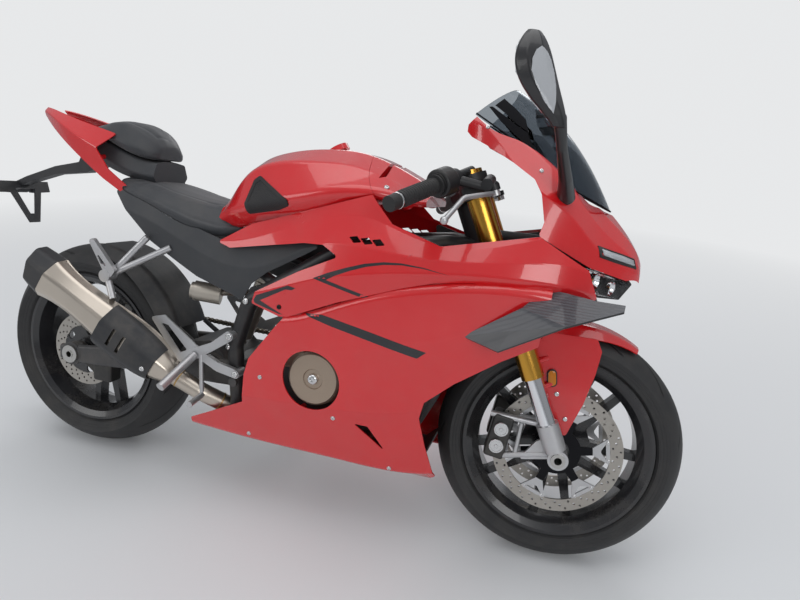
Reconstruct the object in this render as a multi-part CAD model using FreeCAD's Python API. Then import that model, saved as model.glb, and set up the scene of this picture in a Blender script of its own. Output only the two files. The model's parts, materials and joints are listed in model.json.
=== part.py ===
import FreeCAD, Part
import math
import os
from functools import lru_cache
from FreeCAD import Vector

# Sport motorcycle parked on its side stand.
# The machine is drawn upright, rear axle above the drawing's zero, +X to the front,
# +Y to the rider's left and +Z up. It is leaned onto the side stand at the very end.

# Ground and running gear
WHEELBASE = 1390.0
LEAN = 8.0
RAKE = 24.5
TRAIL = 100.0
STEER_REST = 5.0

FRONT_RADIUS = 300.0
FRONT_HALF = 60.0
FRONT_SHOULDER = 262.0
FRONT_RIM_HALF = 53.0
REAR_RADIUS = 314.0
REAR_HALF = 90.0
REAR_SHOULDER = 264.0
REAR_RIM_HALF = 74.0
BEAD_SEAT = 214.3
FLANGE = 229.0
TYRE_WALL = 9.0
SPOKES = 5
SPOKE_SPREAD = 24.0
SPOKE_PHASE = 23.0
RIM_WELL = 200.0
SPOKE_END = RIM_WELL - 5.0

AXLE_R = 12.5
AXLE_BORE = 9.0
RUN_CLEAR = 0.05
SEAM = 0.4

# Steering
FORK_HALF = 105.0
FORK_TUBE_R = 27.0
SLIDER_R = 21.5
SLIDER_BOTTOM = 400.0
SLIDER_TOP = 516.0
FORK_TOP = 1016.0
LOWER_CLAMP = 752.0
UPPER_CLAMP = 952.0
CLAMP_THICK = 28.0
STEM_R = 15.0
HEAD_R = 30.0
BAR_R = 11.0
GRIP_R = 17.0
GRIP_LENGTH = 125.0

# Brakes
FRONT_DISC_R = 155.0
FRONT_DISC_BAND = 30.0
FRONT_DISC_Y = 66.0
DISC_THICK = 5.0
REAR_DISC_R = 110.0
REAR_DISC_Y = 88.0

# Chain drive
CHAIN_Y = 104.0
CHAIN_WIDTH = 16.0
CHAIN_HEIGHT = 14.0
REAR_SPROCKET_R = 103.0
FRONT_SPROCKET_R = 36.0
FRONT_SPROCKET_X = 655.0
FRONT_SPROCKET_Z = 362.0
SPROCKET_THICK = 6.0

# Frame, engine and panels
SPAR_R = 21.0
PIVOT_X = 560.0
PIVOT_Z = 345.0
ENGINE_HALF = 118.0
GEARBOX_HALF = 88.0
CLUTCH_X = 801.0
CLUTCH_Z = 411.0
CLUTCH_R = 68.0
CLUTCH_OUT = 200.0
PANEL_WALL = 3.5
PANEL_HOLE = 8.0

REAR_AXLE_Z = REAR_RADIUS
FRONT_AXLE_Z = FRONT_RADIUS
RAKE_SIN = math.sin(math.radians(RAKE))
RAKE_COS = math.cos(math.radians(RAKE))
STEER_GROUND = WHEELBASE + TRAIL
FORK_OFFSET = FRONT_RADIUS * RAKE_SIN - TRAIL * RAKE_COS
AXLE_S = TRAIL * RAKE_SIN + FRONT_RADIUS * RAKE_COS


def box(x, y, z):
    """Block between pairs of limits."""
    return Part.makeBox(x[1] - x[0], y[1] - y[0], z[1] - z[0], Vector(x[0], y[0], z[0]))


def rod(start, end, radius):
    """Round bar between two points."""
    a = Vector(*start)
    d = Vector(*end) - a
    return Part.makeCylinder(radius, d.Length, a, d)


def sleeve(start, end, radius, bore):
    """Round bar with a bore right through."""
    return rod(start, end, radius).cut(rod(start, end, bore))


def rounded(points, radius, closed=True):
    """Outline through points of one plane with its corners turned by arcs."""
    pts = [Vector(*p) for p in points]
    count = len(pts)
    radii = radius if isinstance(radius, list) else [radius] * count
    stops = []
    for i in range(count):
        here = pts[i]
        if not closed and i in (0, count - 1):
            stops.append((here, None, here))
            continue
        back = pts[i - 1] - here
        ahead = pts[(i + 1) % count] - here
        half = back.getAngle(ahead) / 2.0
        if radii[i] < 0.01 or half > math.pi / 2 - 0.002:
            stops.append((here, None, here))
            continue
        reach = min(radii[i] / math.tan(half), 0.46 * back.Length, 0.46 * ahead.Length)
        r = reach * math.tan(half)
        back.normalize()
        ahead.normalize()
        middle = back + ahead
        middle.normalize()
        peak = here + middle * (r / math.sin(half) - r)
        stops.append((here + back * reach, peak, here + ahead * reach))
    edges = []
    for i in range(count):
        first, peak, last = stops[i]
        if peak is not None:
            edges.append(Part.Arc(first, peak, last).toShape())
        if i < count - 1 or closed:
            following = stops[(i + 1) % count][0]
            if (following - last).Length > 1e-6:
                edges.append(Part.LineSegment(last, following).toShape())
    return Part.Wire(edges)


def side_prism(outline, y0, y1, radius=0.0):
    """Plate seen from the side: an (x, z) outline carried from y0 to y1."""
    face = Part.Face(rounded([(x, y0, z) for x, z in outline], radius))
    return face.extrude(Vector(0, y1 - y0, 0))


def top_prism(outline, z0, z1, radius=0.0):
    """Plate seen from above: an (x, y) outline carried from z0 to z1."""
    face = Part.Face(rounded([(x, y, z0) for x, y in outline], radius))
    return face.extrude(Vector(0, 0, z1 - z0))


def pipe(points, radius, bend):
    """Round tube along straight runs joined by arcs."""
    path = rounded(points, bend, closed=False)
    a = Vector(*points[0])
    d = Vector(*points[1]) - a
    ring = Part.Wire(Part.makeCircle(radius, a, d))
    return path.makePipeShell([ring], True, False)


def loft(wires, ruled=False):
    """Solid skin over a row of closed outlines."""
    return Part.makeLoft(wires, True, ruled)


def turn(profile, centre, angle=360.0):
    """Ring turned about a cross-wise axis from (y, radius) points; arcs are given as triples."""
    edges = []
    here = None
    points = list(profile) + [profile[0]]
    for item in points:
        if len(item) == 3:
            a, m, b = [Vector(centre[0], p[0], centre[2] + p[1]) for p in item]
            if here is not None and (a - here).Length > 1e-6:
                edges.append(Part.LineSegment(here, a).toShape())
            if item is not points[-1] or here is None:
                edges.append(Part.Arc(a, m, b).toShape())
            here = b
        else:
            p = Vector(centre[0], item[0], centre[2] + item[1])
            if here is not None and (p - here).Length > 1e-6:
                edges.append(Part.LineSegment(here, p).toShape())
            here = p
    face = Part.Face(Part.Wire(edges))
    return face.revolve(Vector(*centre), Vector(0, 1, 0), angle)


def mirrored(shape):
    """The same piece on the other side of the machine."""
    return shape.mirror(Vector(0, 0, 0), Vector(0, 1, 0))


def both(shape):
    """A piece and its mirror image in one compound."""
    return Part.makeCompound([shape, mirrored(shape)])


def offset_line(points, wall):
    """Points of an open line moved inward by the wall, to the right of its run."""
    moved = []
    for i, (y, z) in enumerate(points):
        normals = []
        for j in (i - 1, i):
            if 0 <= j < len(points) - 1:
                dy = points[j + 1][0] - points[j][0]
                dz = points[j + 1][1] - points[j][1]
                size = math.hypot(dy, dz)
                normals.append((dz / size, -dy / size))
        ny = sum(n[0] for n in normals)
        nz = sum(n[1] for n in normals)
        size = math.hypot(ny, nz)
        ny, nz = ny / size, nz / size
        scale = wall / max(0.35, ny * normals[0][0] + nz * normals[0][1])
        moved.append((y + ny * scale, z + nz * scale))
    return moved


def skin(stations, wall, radius=18.0):
    """Panel of even wall lofted over cross sections: rows of x and then (y, z) points."""
    wires = []
    for x, *points in stations:
        inner = offset_line(points, wall)
        loop = points + inner[::-1]
        count = len(points)
        radii = [0.0] + [radius] * (count - 2) + [0.0, 0.0] + [radius] * (count - 2) + [0.0]
        wires.append(rounded([(x, y, z) for y, z in loop], radii))
    return loft(wires)


def biggest(shape):
    """The largest solid of a shape."""
    return max(shape.Solids, key=lambda s: s.Volume)


def boss(panel, start, end, radius, carriers):
    """Panel with a post from inside its wall to what carries it."""
    a = Vector(*start)
    line = Part.LineSegment(a, Vector(*end)).toShape()
    wall = min(line.common(panel).Edges, key=lambda e: (e.CenterOfMass - a).Length)
    ends = sorted((v.Point for v in wall.Vertexes), key=lambda p: (p - a).Length)
    seat = ends[0] + (ends[-1] - ends[0]) * 0.7
    post = rod(tuple(seat), end, radius)
    for carrier in carriers:
        post = post.cut(carrier)
    mark = Part.Vertex(seat)
    return panel.fuse(min(post.Solids, key=lambda piece: piece.distToShape(mark)[0]))


def taper(stops):
    """Round arm that narrows from stop to stop: rows of x, y, z and radius."""
    arm = None
    for (ax, ay, az, ar), (bx, by, bz, br) in zip(stops, stops[1:]):
        a = Vector(ax, ay, az)
        d = Vector(bx, by, bz) - a
        if abs(ar - br) < 0.01:
            piece = Part.makeCylinder(ar, d.Length, a, d)
        else:
            piece = Part.makeCone(ar, br, d.Length, a, d)
        piece = piece.fuse(Part.makeSphere(br, Vector(bx, by, bz)))
        arm = piece if arm is None else arm.fuse(piece)
    return arm


def steer_frame(shape, rest=True):
    """From the steering's own axes, x ahead and z up the stem, to the upright machine."""
    moved = shape.copy()
    if rest:
        moved.rotate(Vector(0, 0, 0), Vector(0, 0, 1), STEER_REST)
    moved.rotate(Vector(0, 0, 0), Vector(0, 1, 0), -RAKE)
    moved.translate(Vector(STEER_GROUND, 0, 0))
    return moved


def into_steer(point):
    """A point of the upright machine in the steering's own axes, wheel straight."""
    x, y, z = point
    dx = x - STEER_GROUND
    return (dx * RAKE_COS + z * RAKE_SIN, y, z * RAKE_COS - dx * RAKE_SIN)


# Wheels


def tyre(centre, radius, half, shoulder, rim_half):
    bead = rim_half - 7.0
    lip = rim_half + 2.0
    wall = TYRE_WALL
    profile = [
        (-bead, BEAD_SEAT + 0.4), (-bead, 231.0), (-lip, 237.0),
        ((-half, shoulder), (0.0, radius), (half, shoulder)),
        (lip, 237.0), (bead, 231.0), (bead, BEAD_SEAT + 0.4), (bead - wall, BEAD_SEAT + 0.4),
        (bead - wall, 233.0),
        ((half - wall - 3.0, shoulder), (0.0, radius - wall), (wall + 3.0 - half, shoulder)),
        (wall - bead, 233.0), (wall - bead, BEAD_SEAT + 0.4),
    ]
    return turn(profile, centre)


def rim(centre, half, hub_r, hub_half, thick):
    outer = [(26.0, RIM_WELL), (38.0 if half < 60 else 52.0, BEAD_SEAT), (half - 5.5, BEAD_SEAT),
             (half - 5.0, FLANGE), (half, FLANGE), (half, 221.0), (half - 9.0, 206.0), (28.0, RIM_WELL - 9.0)]
    profile = outer + [(-y, r) for y, r in outer[::-1]]
    wheel = turn(profile, centre)
    hub = rod((centre[0], -hub_half, centre[2]), (centre[0], hub_half, centre[2]), hub_r)
    pieces = [hub]
    for k in range(SPOKES):
        middle = SPOKE_PHASE + 360.0 / SPOKES * k
        web = [(hub_r - 6.0, -16.0), (hub_r + 44.0, -12.0), (hub_r + 44.0, 12.0), (hub_r - 6.0, 16.0)]
        plate = [(centre[0] + r * math.cos(math.radians(middle + turn_by)),
                  centre[2] + r * math.sin(math.radians(middle + turn_by))) for r, turn_by in web]
        pieces.append(side_prism(plate, -thick * 0.7, thick * 0.7))
        for side in (-1.0, 1.0):
            foot = math.radians(middle + side * SPOKE_SPREAD)
            root = math.radians(middle + side * 9.0)
            inner = (centre[0] + (hub_r - 8.0) * math.cos(root), centre[2] + (hub_r - 8.0) * math.sin(root))
            outer = (centre[0] + SPOKE_END * math.cos(foot), centre[2] + SPOKE_END * math.sin(foot))
            dx, dz = outer[0] - inner[0], outer[1] - inner[1]
            size = math.hypot(dx, dz)
            tx, tz = -dz / size, dx / size
            corners = [(inner[0] + tx * 14, inner[1] + tz * 14), (outer[0] + tx * 9, outer[1] + tz * 9),
                       (outer[0] - tx * 9, outer[1] - tz * 9), (inner[0] - tx * 14, inner[1] - tz * 14)]
            pieces.append(side_prism(corners, -thick, thick))
    for piece in pieces:
        wheel = wheel.fuse(piece)
    bore = rod((centre[0], -200, centre[2]), (centre[0], 200, centre[2]), AXLE_R + RUN_CLEAR)
    return wheel.cut(bore).removeSplitter()


FRONT_CENTRE = (WHEELBASE, 0.0, FRONT_AXLE_Z)
REAR_CENTRE = (0.0, 0.0, REAR_AXLE_Z)
FRONT_HUB_HALF = FRONT_DISC_Y - DISC_THICK / 2
REAR_HUB_HALF = REAR_DISC_Y - DISC_THICK / 2


def front_tyre():
    return tyre(FRONT_CENTRE, FRONT_RADIUS, FRONT_HALF, FRONT_SHOULDER, FRONT_RIM_HALF)


def rear_tyre():
    return tyre(REAR_CENTRE, REAR_RADIUS, REAR_HALF, REAR_SHOULDER, REAR_RIM_HALF)


def front_rim():
    return rim(FRONT_CENTRE, FRONT_RIM_HALF, 40.0, FRONT_HUB_HALF, 13.0)


def rear_rim():
    return rim(REAR_CENTRE, REAR_RIM_HALF, 56.0, REAR_HUB_HALF, 17.0)


def disc_ring(centre, y, outer, inner, thick):
    x, _, z = centre
    return sleeve((x, y - thick / 2, z), (x, y + thick / 2, z), outer, inner)


def front_discs():
    ring = disc_ring(FRONT_CENTRE, FRONT_DISC_Y, FRONT_DISC_R, FRONT_DISC_R - FRONT_DISC_BAND, DISC_THICK)
    return both(ring)


def disc_carriers():
    x, _, z = FRONT_CENTRE
    inner_band = FRONT_DISC_R - FRONT_DISC_BAND
    hub = disc_ring(FRONT_CENTRE, FRONT_DISC_Y, 58.0, 30.0, DISC_THICK)
    for k in range(6):
        a = math.radians(60.0 * k + 10.0)
        outlines = []
        for half in (
            # reach from the axle and half angle: the flared arm, then its window
            ((50.0, 0.22), (86.0, 0.11), (inner_band + 4.0, 0.27)),
            ((104.0, 0.03), (117.0, 0.17)),
        ):
            line = [(reach, -turn_by) for reach, turn_by in half] + [(reach, turn_by) for reach, turn_by in half[::-1]]
            outlines.append([(x + reach * math.cos(a + turn_by), z + reach * math.sin(a + turn_by))
                             for reach, turn_by in line])
        plate = side_prism(outlines[0], FRONT_DISC_Y - DISC_THICK / 2, FRONT_DISC_Y + DISC_THICK / 2, 3.0)
        window = side_prism(outlines[1], FRONT_DISC_Y - DISC_THICK, FRONT_DISC_Y + DISC_THICK)
        hub = hub.fuse(plate.cut(window))
    hub = hub.cut(disc_ring(FRONT_CENTRE, FRONT_DISC_Y, FRONT_DISC_R, inner_band, DISC_THICK * 3))
    return both(hub.cut(rod((x, 0, z), (x, 100, z), 30.0)))


def rear_disc():
    x, _, z = REAR_CENTRE
    disc = disc_ring(REAR_CENTRE, -REAR_DISC_Y, REAR_DISC_R, 32.0, DISC_THICK)
    for k in range(5):
        a = math.radians(72.0 * k)
        px, pz = x + 62.0 * math.cos(a), z + 62.0 * math.sin(a)
        disc = disc.cut(rod((px, -REAR_DISC_Y - 10, pz), (px, -REAR_DISC_Y + 10, pz), 13.0))
    return disc


def rear_sprocket():
    x, _, z = REAR_CENTRE
    low = CHAIN_Y - SPROCKET_THICK / 2
    plate = sleeve((x, low, z), (x, low + SPROCKET_THICK, z), REAR_SPROCKET_R, 32.0)
    carrier = sleeve((x, REAR_HUB_HALF, z), (x, low, z), 62.0, 32.0)
    return plate.fuse(carrier)


# Steering, drawn in its own axes and set into the frame afterwards


def slider():
    return rod((FORK_OFFSET, FORK_HALF, SLIDER_BOTTOM), (FORK_OFFSET, FORK_HALF, SLIDER_TOP), SLIDER_R)


def fork_sliders():
    return steer_frame(both(slider()))


CALIPER_ANGLE = 147.0
CALIPER_REACH = 143.0
CALIPER_DEEP = 50.0
CALIPER_LONG = 112.0
CALIPER_IN = FRONT_DISC_Y - 24.0
CALIPER_OUT = FRONT_DISC_Y + 34.0
BRACKET_Y = FORK_HALF - 15.0


@lru_cache(maxsize=None)
def left_caliper():
    """Radial caliper behind the left leg with a slot over the disc, in the steering's own axes."""
    body = box((-CALIPER_DEEP / 2, CALIPER_DEEP / 2), (CALIPER_IN, CALIPER_OUT), (-CALIPER_LONG / 2, CALIPER_LONG / 2))
    body = body.makeFillet(8.0, body.Edges)
    for along in (-22.0, 22.0):
        body = body.fuse(rod((0, CALIPER_OUT, along), (0, CALIPER_OUT + 5.0, along), 17.0))
    body.rotate(Vector(0, 0, 0), Vector(0, 1, 0), 180.0 - CALIPER_ANGLE)
    a = math.radians(CALIPER_ANGLE)
    body.translate(Vector(FORK_OFFSET + CALIPER_REACH * math.cos(a), 0, AXLE_S + CALIPER_REACH * math.sin(a)))
    slot = sleeve((FORK_OFFSET, FRONT_DISC_Y - 5, AXLE_S), (FORK_OFFSET, FRONT_DISC_Y + 5, AXLE_S), FRONT_DISC_R + 5,
                  80.0)
    return body.cut(slot)


def fork_feet():
    """Axle clamp and boot of each leg, with the open bracket that carries its caliper."""
    s = AXLE_S
    foot = rod((FORK_OFFSET, FORK_HALF, s + 18), (FORK_OFFSET, FORK_HALF, SLIDER_BOTTOM), SLIDER_R + 5.0)
    foot = foot.fuse(rod((FORK_OFFSET, FORK_HALF - 24, s), (FORK_OFFSET, FORK_HALF + 22, s), 24.0))
    for x0, up0, x1, up1, r in (
        # bracket arms: start and end ahead of the stem and above the axle, radius
        (14.0, 84.0, -88.0, 138.0, 7.5),
        (28.0, 5.0, -111.0, 33.0, 8.0),
        (-24.0, 96.0, -66.0, 20.0, 5.5),
    ):
        foot = foot.fuse(rod((x0, BRACKET_Y, s + up0), (x1, BRACKET_Y, s + up1), r))
    gusset = side_prism([(26, s - 8), (-58, s + 12), (-6, s + 44), (26, s + 50)], BRACKET_Y - 5, BRACKET_Y + 5, 4.0)
    foot = foot.fuse(gusset)
    foot = foot.cut(rod((FORK_OFFSET, 0, s), (FORK_OFFSET, 200, s), AXLE_R)).cut(left_caliper()).cut(slider())
    return steer_frame(both(biggest(foot)))


def front_axle():
    s = AXLE_S
    end = FORK_HALF + 26.0
    shaft = sleeve((FORK_OFFSET, -end, s), (FORK_OFFSET, end, s), AXLE_R, AXLE_BORE)
    for side in (-1, 1):
        inner = FRONT_DISC_Y + DISC_THICK / 2 + 0.5
        spacer = sleeve((FORK_OFFSET, side * inner, s), (FORK_OFFSET, side * (FORK_HALF - 24), s), 18.0, AXLE_R - 1)
        nut = sleeve((FORK_OFFSET, side * (FORK_HALF + 22), s), (FORK_OFFSET, side * end, s), 17.0, AXLE_R - 1)
        shaft = shaft.fuse(spacer).fuse(nut)
    return steer_frame(shaft)


def fork_tubes():
    leg = rod((FORK_OFFSET, FORK_HALF, SLIDER_TOP), (FORK_OFFSET, FORK_HALF, FORK_TOP), FORK_TUBE_R)
    return steer_frame(both(leg))


def clamp_plate(s, reach, ear):
    outline = [(reach, 0), (FORK_OFFSET + ear, FORK_HALF - 12), (FORK_OFFSET + ear - 12, FORK_HALF + ear),
               (FORK_OFFSET - ear + 6, FORK_HALF + ear), (FORK_OFFSET - ear - 4, FORK_HALF - 16), (-36, 24)]
    outline = outline + [(x, -y) for x, y in outline[:0:-1]]
    return top_prism(outline, s, s + CLAMP_THICK, 14.0)


def triple_clamps():
    tube = rod((FORK_OFFSET, FORK_HALF, SLIDER_TOP), (FORK_OFFSET, FORK_HALF, FORK_TOP), FORK_TUBE_R)
    lower = clamp_plate(LOWER_CLAMP, 40.0, 40.0)
    upper = clamp_plate(UPPER_CLAMP, 30.0, 37.0)
    stem = rod((0, 0, LOWER_CLAMP), (0, 0, UPPER_CLAMP + CLAMP_THICK + 12), STEM_R)
    nut = rod((0, 0, UPPER_CLAMP + CLAMP_THICK), (0, 0, UPPER_CLAMP + CLAMP_THICK + 10), STEM_R + 5)
    clamps = lower.fuse(upper).fuse(stem).fuse(nut)
    return steer_frame(clamps.cut(both(tube)))


# In the steering's own axes
LEVER_PIVOT = (76.0, 158.0, 948.0)
LEVER_TIP = (-30.0, 315.0, 921.0)
SWITCH_R = 31.0
BAR_CLAMP = (1112.0, FORK_HALF, 944.0)
BAR_END = (1014.0, 358.0, 864.0)


def bar_line():
    turn_back = FreeCAD.Rotation(Vector(0, 0, 1), STEER_REST)
    a = turn_back.multVec(Vector(*into_steer(BAR_CLAMP)))
    b = turn_back.multVec(Vector(*into_steer(BAR_END)))
    d = b - a
    size = d.Length
    d.normalize()
    return a, d, size


def handlebars():
    a, d, size = bar_line()
    s = UPPER_CLAMP + CLAMP_THICK
    tube = rod((FORK_OFFSET, FORK_HALF, SLIDER_TOP), (FORK_OFFSET, FORK_HALF, FORK_TOP), FORK_TUBE_R)
    ring = rod((FORK_OFFSET, FORK_HALF, s), (FORK_OFFSET, FORK_HALF, s + 26), FORK_TUBE_R + 8)
    bar = Part.makeCylinder(BAR_R, size, a, d)
    clip = ring.fuse(bar).cut(tube)
    return steer_frame(both(biggest(clip)))


def grips():
    a, d, size = bar_line()
    inner = size - GRIP_LENGTH - 14.0
    grip = Part.makeCylinder(GRIP_R, GRIP_LENGTH, a + d * inner, d)
    flange = Part.makeCylinder(GRIP_R + 6, 6, a + d * inner, d)
    weight = Part.makeCylinder(GRIP_R - 1, 32, a + d * (inner + GRIP_LENGTH + 0.1), d)
    bar = Part.makeCylinder(BAR_R, size, a, d)
    grip = grip.fuse(flange).cut(bar)
    weight = weight.cut(bar)
    return steer_frame(Part.makeCompound([grip, weight, mirrored(grip), mirrored(weight)]))


def bar_controls():
    a, d, size = bar_line()
    inner = size - GRIP_LENGTH - 14.0
    bar = Part.makeCylinder(BAR_R, size, a, d)
    switch = Part.makeCylinder(SWITCH_R, 44, a + d * (inner - 49), d)
    switch = switch.makeFillet(6.0, switch.Edges)
    collar = Part.makeCylinder(GRIP_R + 8, 6, a + d * (inner - 6), d)
    holder = Part.makeCylinder(GRIP_R + 3, 26, a + d * (inner - 75), d)
    mid = a + d * (inner - 63)
    pivot = Vector(*LEVER_PIVOT)
    arm = rod(tuple(mid), tuple(pivot + Vector(-8, 2, 12)), 11.0)
    cylinder = rod(tuple(pivot + Vector(-12, 20, 22)), tuple(pivot + Vector(-4, -44, 34)), 13.0)
    jaw = rod(tuple(pivot + Vector(0, 0, 6)), tuple(pivot + Vector(0, 0, 18)), 13.0)
    unit = switch.fuse(collar).fuse(holder).fuse(arm).fuse(cylinder).fuse(jaw).cut(bar)
    controls = steer_frame(both(biggest(unit)))
    for carrier in (handlebars(), triple_clamps(), fork_tubes()):
        controls = controls.cut(carrier)
    return Part.makeCompound(sorted(controls.Solids, key=lambda part: -part.Volume)[:2])


def levers():
    lever = pipe([LEVER_PIVOT, (50.0, 200.0, 951.0), (14.0, 244.0, 955.0), LEVER_TIP], 5.5, 40.0)
    ball = Part.makeSphere(8.5, Vector(*LEVER_TIP))
    x, y, s = LEVER_PIVOT
    hub = rod((x, y, s - 6.0), (x, y, s + 6.0 - SEAM), 10.0)
    return steer_frame(both(lever.fuse(ball).fuse(hub)))


FENDER_GAP = 17.0
FENDER_WALL = 3.0


def front_fender():
    """Mudguard lofted over planes through the axle, with a tongue down each fork leg."""
    x, _, z = FRONT_CENTRE
    r = FRONT_RADIUS + FENDER_GAP
    wires = []
    table = [
        # angle, crown rise, shoulder y, shoulder drop, skirt y, skirt drop
        (60.0, -4.0, 22.0, 4.0, 34.0, 12.0),
        (82.0, 2.0, 46.0, 6.0, 66.0, 30.0),
        (105.0, 4.0, 52.0, 8.0, 78.0, 44.0),
        (130.0, 2.0, 48.0, 8.0, 76.0, 40.0),
        (150.0, 0.0, 44.0, 8.0, 70.0, 30.0),
    ]
    for angle, rise, y1, d1, y2, d2 in table:
        a = math.radians(angle)
        half = [(0.0, r + rise), (y1, r + rise - d1), (y2, r + rise - d2)]
        line = [(-y, q) for y, q in half[:0:-1]] + half
        inner = offset_line(line, FENDER_WALL)
        loop = line + inner[::-1]
        count = len(line)
        radii = [0.0] + [22.0] * (count - 2) + [0.0, 0.0] + [22.0] * (count - 2) + [0.0]
        wires.append(rounded([(x + q * math.cos(a), y, z + q * math.sin(a)) for y, q in loop], radii))
    guard = loft(wires)
    tongue = side_prism([(1300, 550), (1316, 503), (1344, 440), (1378, 380), (1393, 346), (1404, 346), (1432, 430),
                         (1448, 505), (1454, 562), (1440, 590), (1326, 590)], 74.0, 77.5, 8.0)
    tongue = tongue.cut(rod((x, 0, z), (x, 100, z), r - 42.0).common(box((x - 400, x + 400), (0, 73), (0, 900))))
    guard = guard.fuse(tongue).fuse(mirrored(tongue))
    return guard


def fender_in_place():
    """Fender with the mounting bosses that reach each fork leg."""
    guard = front_fender()
    guard.translate(Vector(-STEER_GROUND, 0, 0))
    guard.rotate(Vector(0, 0, 0), Vector(0, 1, 0), RAKE)
    for s in (484.0, 545.0):
        for side in (-1, 1):
            r = SLIDER_R if s < SLIDER_TOP else FORK_TUBE_R
            leg = rod((FORK_OFFSET, side * FORK_HALF, s - 40), (FORK_OFFSET, side * FORK_HALF, s + 40), r)
            post = rod((FORK_OFFSET + 45, side * 76, s), (FORK_OFFSET, side * (FORK_HALF - 4), s), 6.0).cut(leg)
            guard = guard.fuse(biggest(post))
    return steer_frame(guard)


def front_calipers():
    return steer_frame(both(left_caliper()))


# Frame and engine


@lru_cache(maxsize=None)
def spar(extra=0.0):
    """Bent main tube on the left, head to swingarm pivot."""
    r = SPAR_R + extra
    points = [(1132, 10, 765), (1062, 58, 768), (960, 134, 752), (830, 150, 730), (589, 150, 566), (548, 142, 440), (566, 142, 272)]
    return pipe(points, r, 60.0)


def head_tube():
    low = LOWER_CLAMP + CLAMP_THICK + 1.0
    high = UPPER_CLAMP - 1.0
    return sleeve((0, 0, low), (0, 0, high), HEAD_R, STEM_R + RUN_CLEAR)


@lru_cache(maxsize=None)
def frame_main():
    head = steer_frame(head_tube(), False)
    bore = steer_frame(rod((0, 0, 600), (0, 0, 1100), HEAD_R - 2), False)
    left = spar()
    frame = head.fuse(left.cut(bore)).fuse(mirrored(left).cut(bore))
    frame = frame.fuse(rod((600, -150, 590), (600, 150, 590), 16.0))
    frame = frame.fuse(rod((566, -142, 276), (566, 142, 276), 13.0)).fuse(stand_lug())
    frame = frame.cut(rod((PIVOT_X, -200, PIVOT_Z), (PIVOT_X, 200, PIVOT_Z), 12.0))
    return frame


@lru_cache(maxsize=None)
def engine_block():
    """Crankcase and forward-leaning cylinders as one closed block with its mounting bosses."""
    crank = side_prism([(612, 300), (700, 246), (900, 246), (985, 300), (985, 430), (960, 470), (700, 480),
                        (625, 430)], -GEARBOX_HALF, GEARBOX_HALF, 25.0)
    wide = side_prism([(712, 300), (740, 252), (890, 252), (960, 300), (965, 440), (740, 470), (712, 420)],
                      -ENGINE_HALF, ENGINE_HALF, 25.0)
    head = side_prism([(740, 440), (980, 400), (1010, 600), (990, 640), (800, 668), (765, 640)],
                      -ENGINE_HALF + 8, ENGINE_HALF - 8, 20.0)
    block = crank.fuse(wide).fuse(head)
    frame = frame_main()
    for x, z in ((900.0, 620.0), (775.0, 560.0)):
        for side in (-1, 1):
            ear = rod((x, side * 90, z), (x - 40, side * 150, z + 90 if x > 800 else z + 120), 14.0)
            block = block.fuse(ear)
    block = block.cut(frame)
    return biggest(block)


@lru_cache(maxsize=None)
def engine_covers():
    """Clutch cover on the right, generator cover on the left, and the drive cover."""
    x, z = CLUTCH_X, CLUTCH_Z
    dome = [(ENGINE_HALF, 0.0), (ENGINE_HALF, CLUTCH_R + 6), (CLUTCH_OUT - 34, CLUTCH_R + 6),
            (CLUTCH_OUT - 30, CLUTCH_R), (CLUTCH_OUT - 6, CLUTCH_R), (CLUTCH_OUT, CLUTCH_R - 6),
            (CLUTCH_OUT, 26.0), (CLUTCH_OUT - 3, 24.0), (CLUTCH_OUT - 3, 14.0), (CLUTCH_OUT, 12.0), (CLUTCH_OUT, 0.0)]
    cover = turn(dome, (x, 0, z))
    rear = turn([(ENGINE_HALF, 0.0), (ENGINE_HALF, 52.0), (170.0, 52.0), (176.0, 46.0), (176.0, 0.0)], (715, 0, 470))
    return Part.makeCompound([mirrored(cover.fuse(rear).removeSplitter()), cover])


def radiator():
    core = side_prism([(1022, 300), (1052, 292), (1144, 610), (1114, 620)], -150, 150, 3.0)
    mount = rod((940, 104, 420), (1066, 104, 420), 8.0)
    core = core.fuse(mount).fuse(mirrored(mount))
    return biggest(core.cut(engine_block()))


def exhaust_path(y):
    return [(980, y, 520), (1026, y, 500), (1018, y, 420), (978, y, 276), (900, y * 0.9, 222), (800, y * 0.6, 217)]


@lru_cache(maxsize=None)
def exhaust_pipes():
    block = engine_block()
    pipes = pipe([(800, 0, 217), (640, -20, 217), (560, -110, 240), (470, -170, 300), (395, -190, 340)], 24.0, 60.0)
    for y in (-66.0, -22.0, 22.0, 66.0):
        pipes = pipes.fuse(pipe(exhaust_path(y) + [(740, y * 0.2, 217)], 17.0, 30.0))
    return biggest(pipes.cut(block).cut(frame_main()))


SILENCER_FRONT = (398.0, -188.0, 338.0)
SILENCER_REAR = (6.0, -236.0, 578.0)


def silencer_axes():
    a = Vector(*SILENCER_FRONT)
    b = Vector(*SILENCER_REAR)
    along = b - a
    size = along.Length
    along.normalize()
    side = Vector(0, -1, 0) - along * along.dot(Vector(0, -1, 0))
    side.normalize()
    up = side.cross(along)
    if up.z < 0:
        up = up * -1.0
    return a, along, side, up, size


def silencer_ring(at, half_wide, half_high, radius, grow=0.0, lean=0.0):
    """Six-sided rounded section of the can, grown evenly by a wall."""
    a, along, side, up, size = silencer_axes()
    o = a + along * at
    w, h = half_wide + grow, half_high + grow
    table = [(w * 0.35, h), (w, h * 0.45), (w, -h * 0.5), (w * 0.45, -h), (-w * 0.7, -h), (-w, -h * 0.3), (-w, h * 0.6),
             (-w * 0.55, h)]
    points = []
    for p, q in table:
        v = o + side * p + up * q + along * (lean * q)
        points.append((v.x, v.y, v.z))
    return rounded(points, radius + grow)


@lru_cache(maxsize=None)
def silencer():
    rows = [(8.0, 27.0, 27.0, 10.0), (70.0, 42.0, 50.0, 18.0), (150.0, 46.0, 58.0, 20.0), (424.0, 46.0, 58.0, 20.0)]
    can = loft([silencer_ring(*row) for row in rows])
    return can


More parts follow.
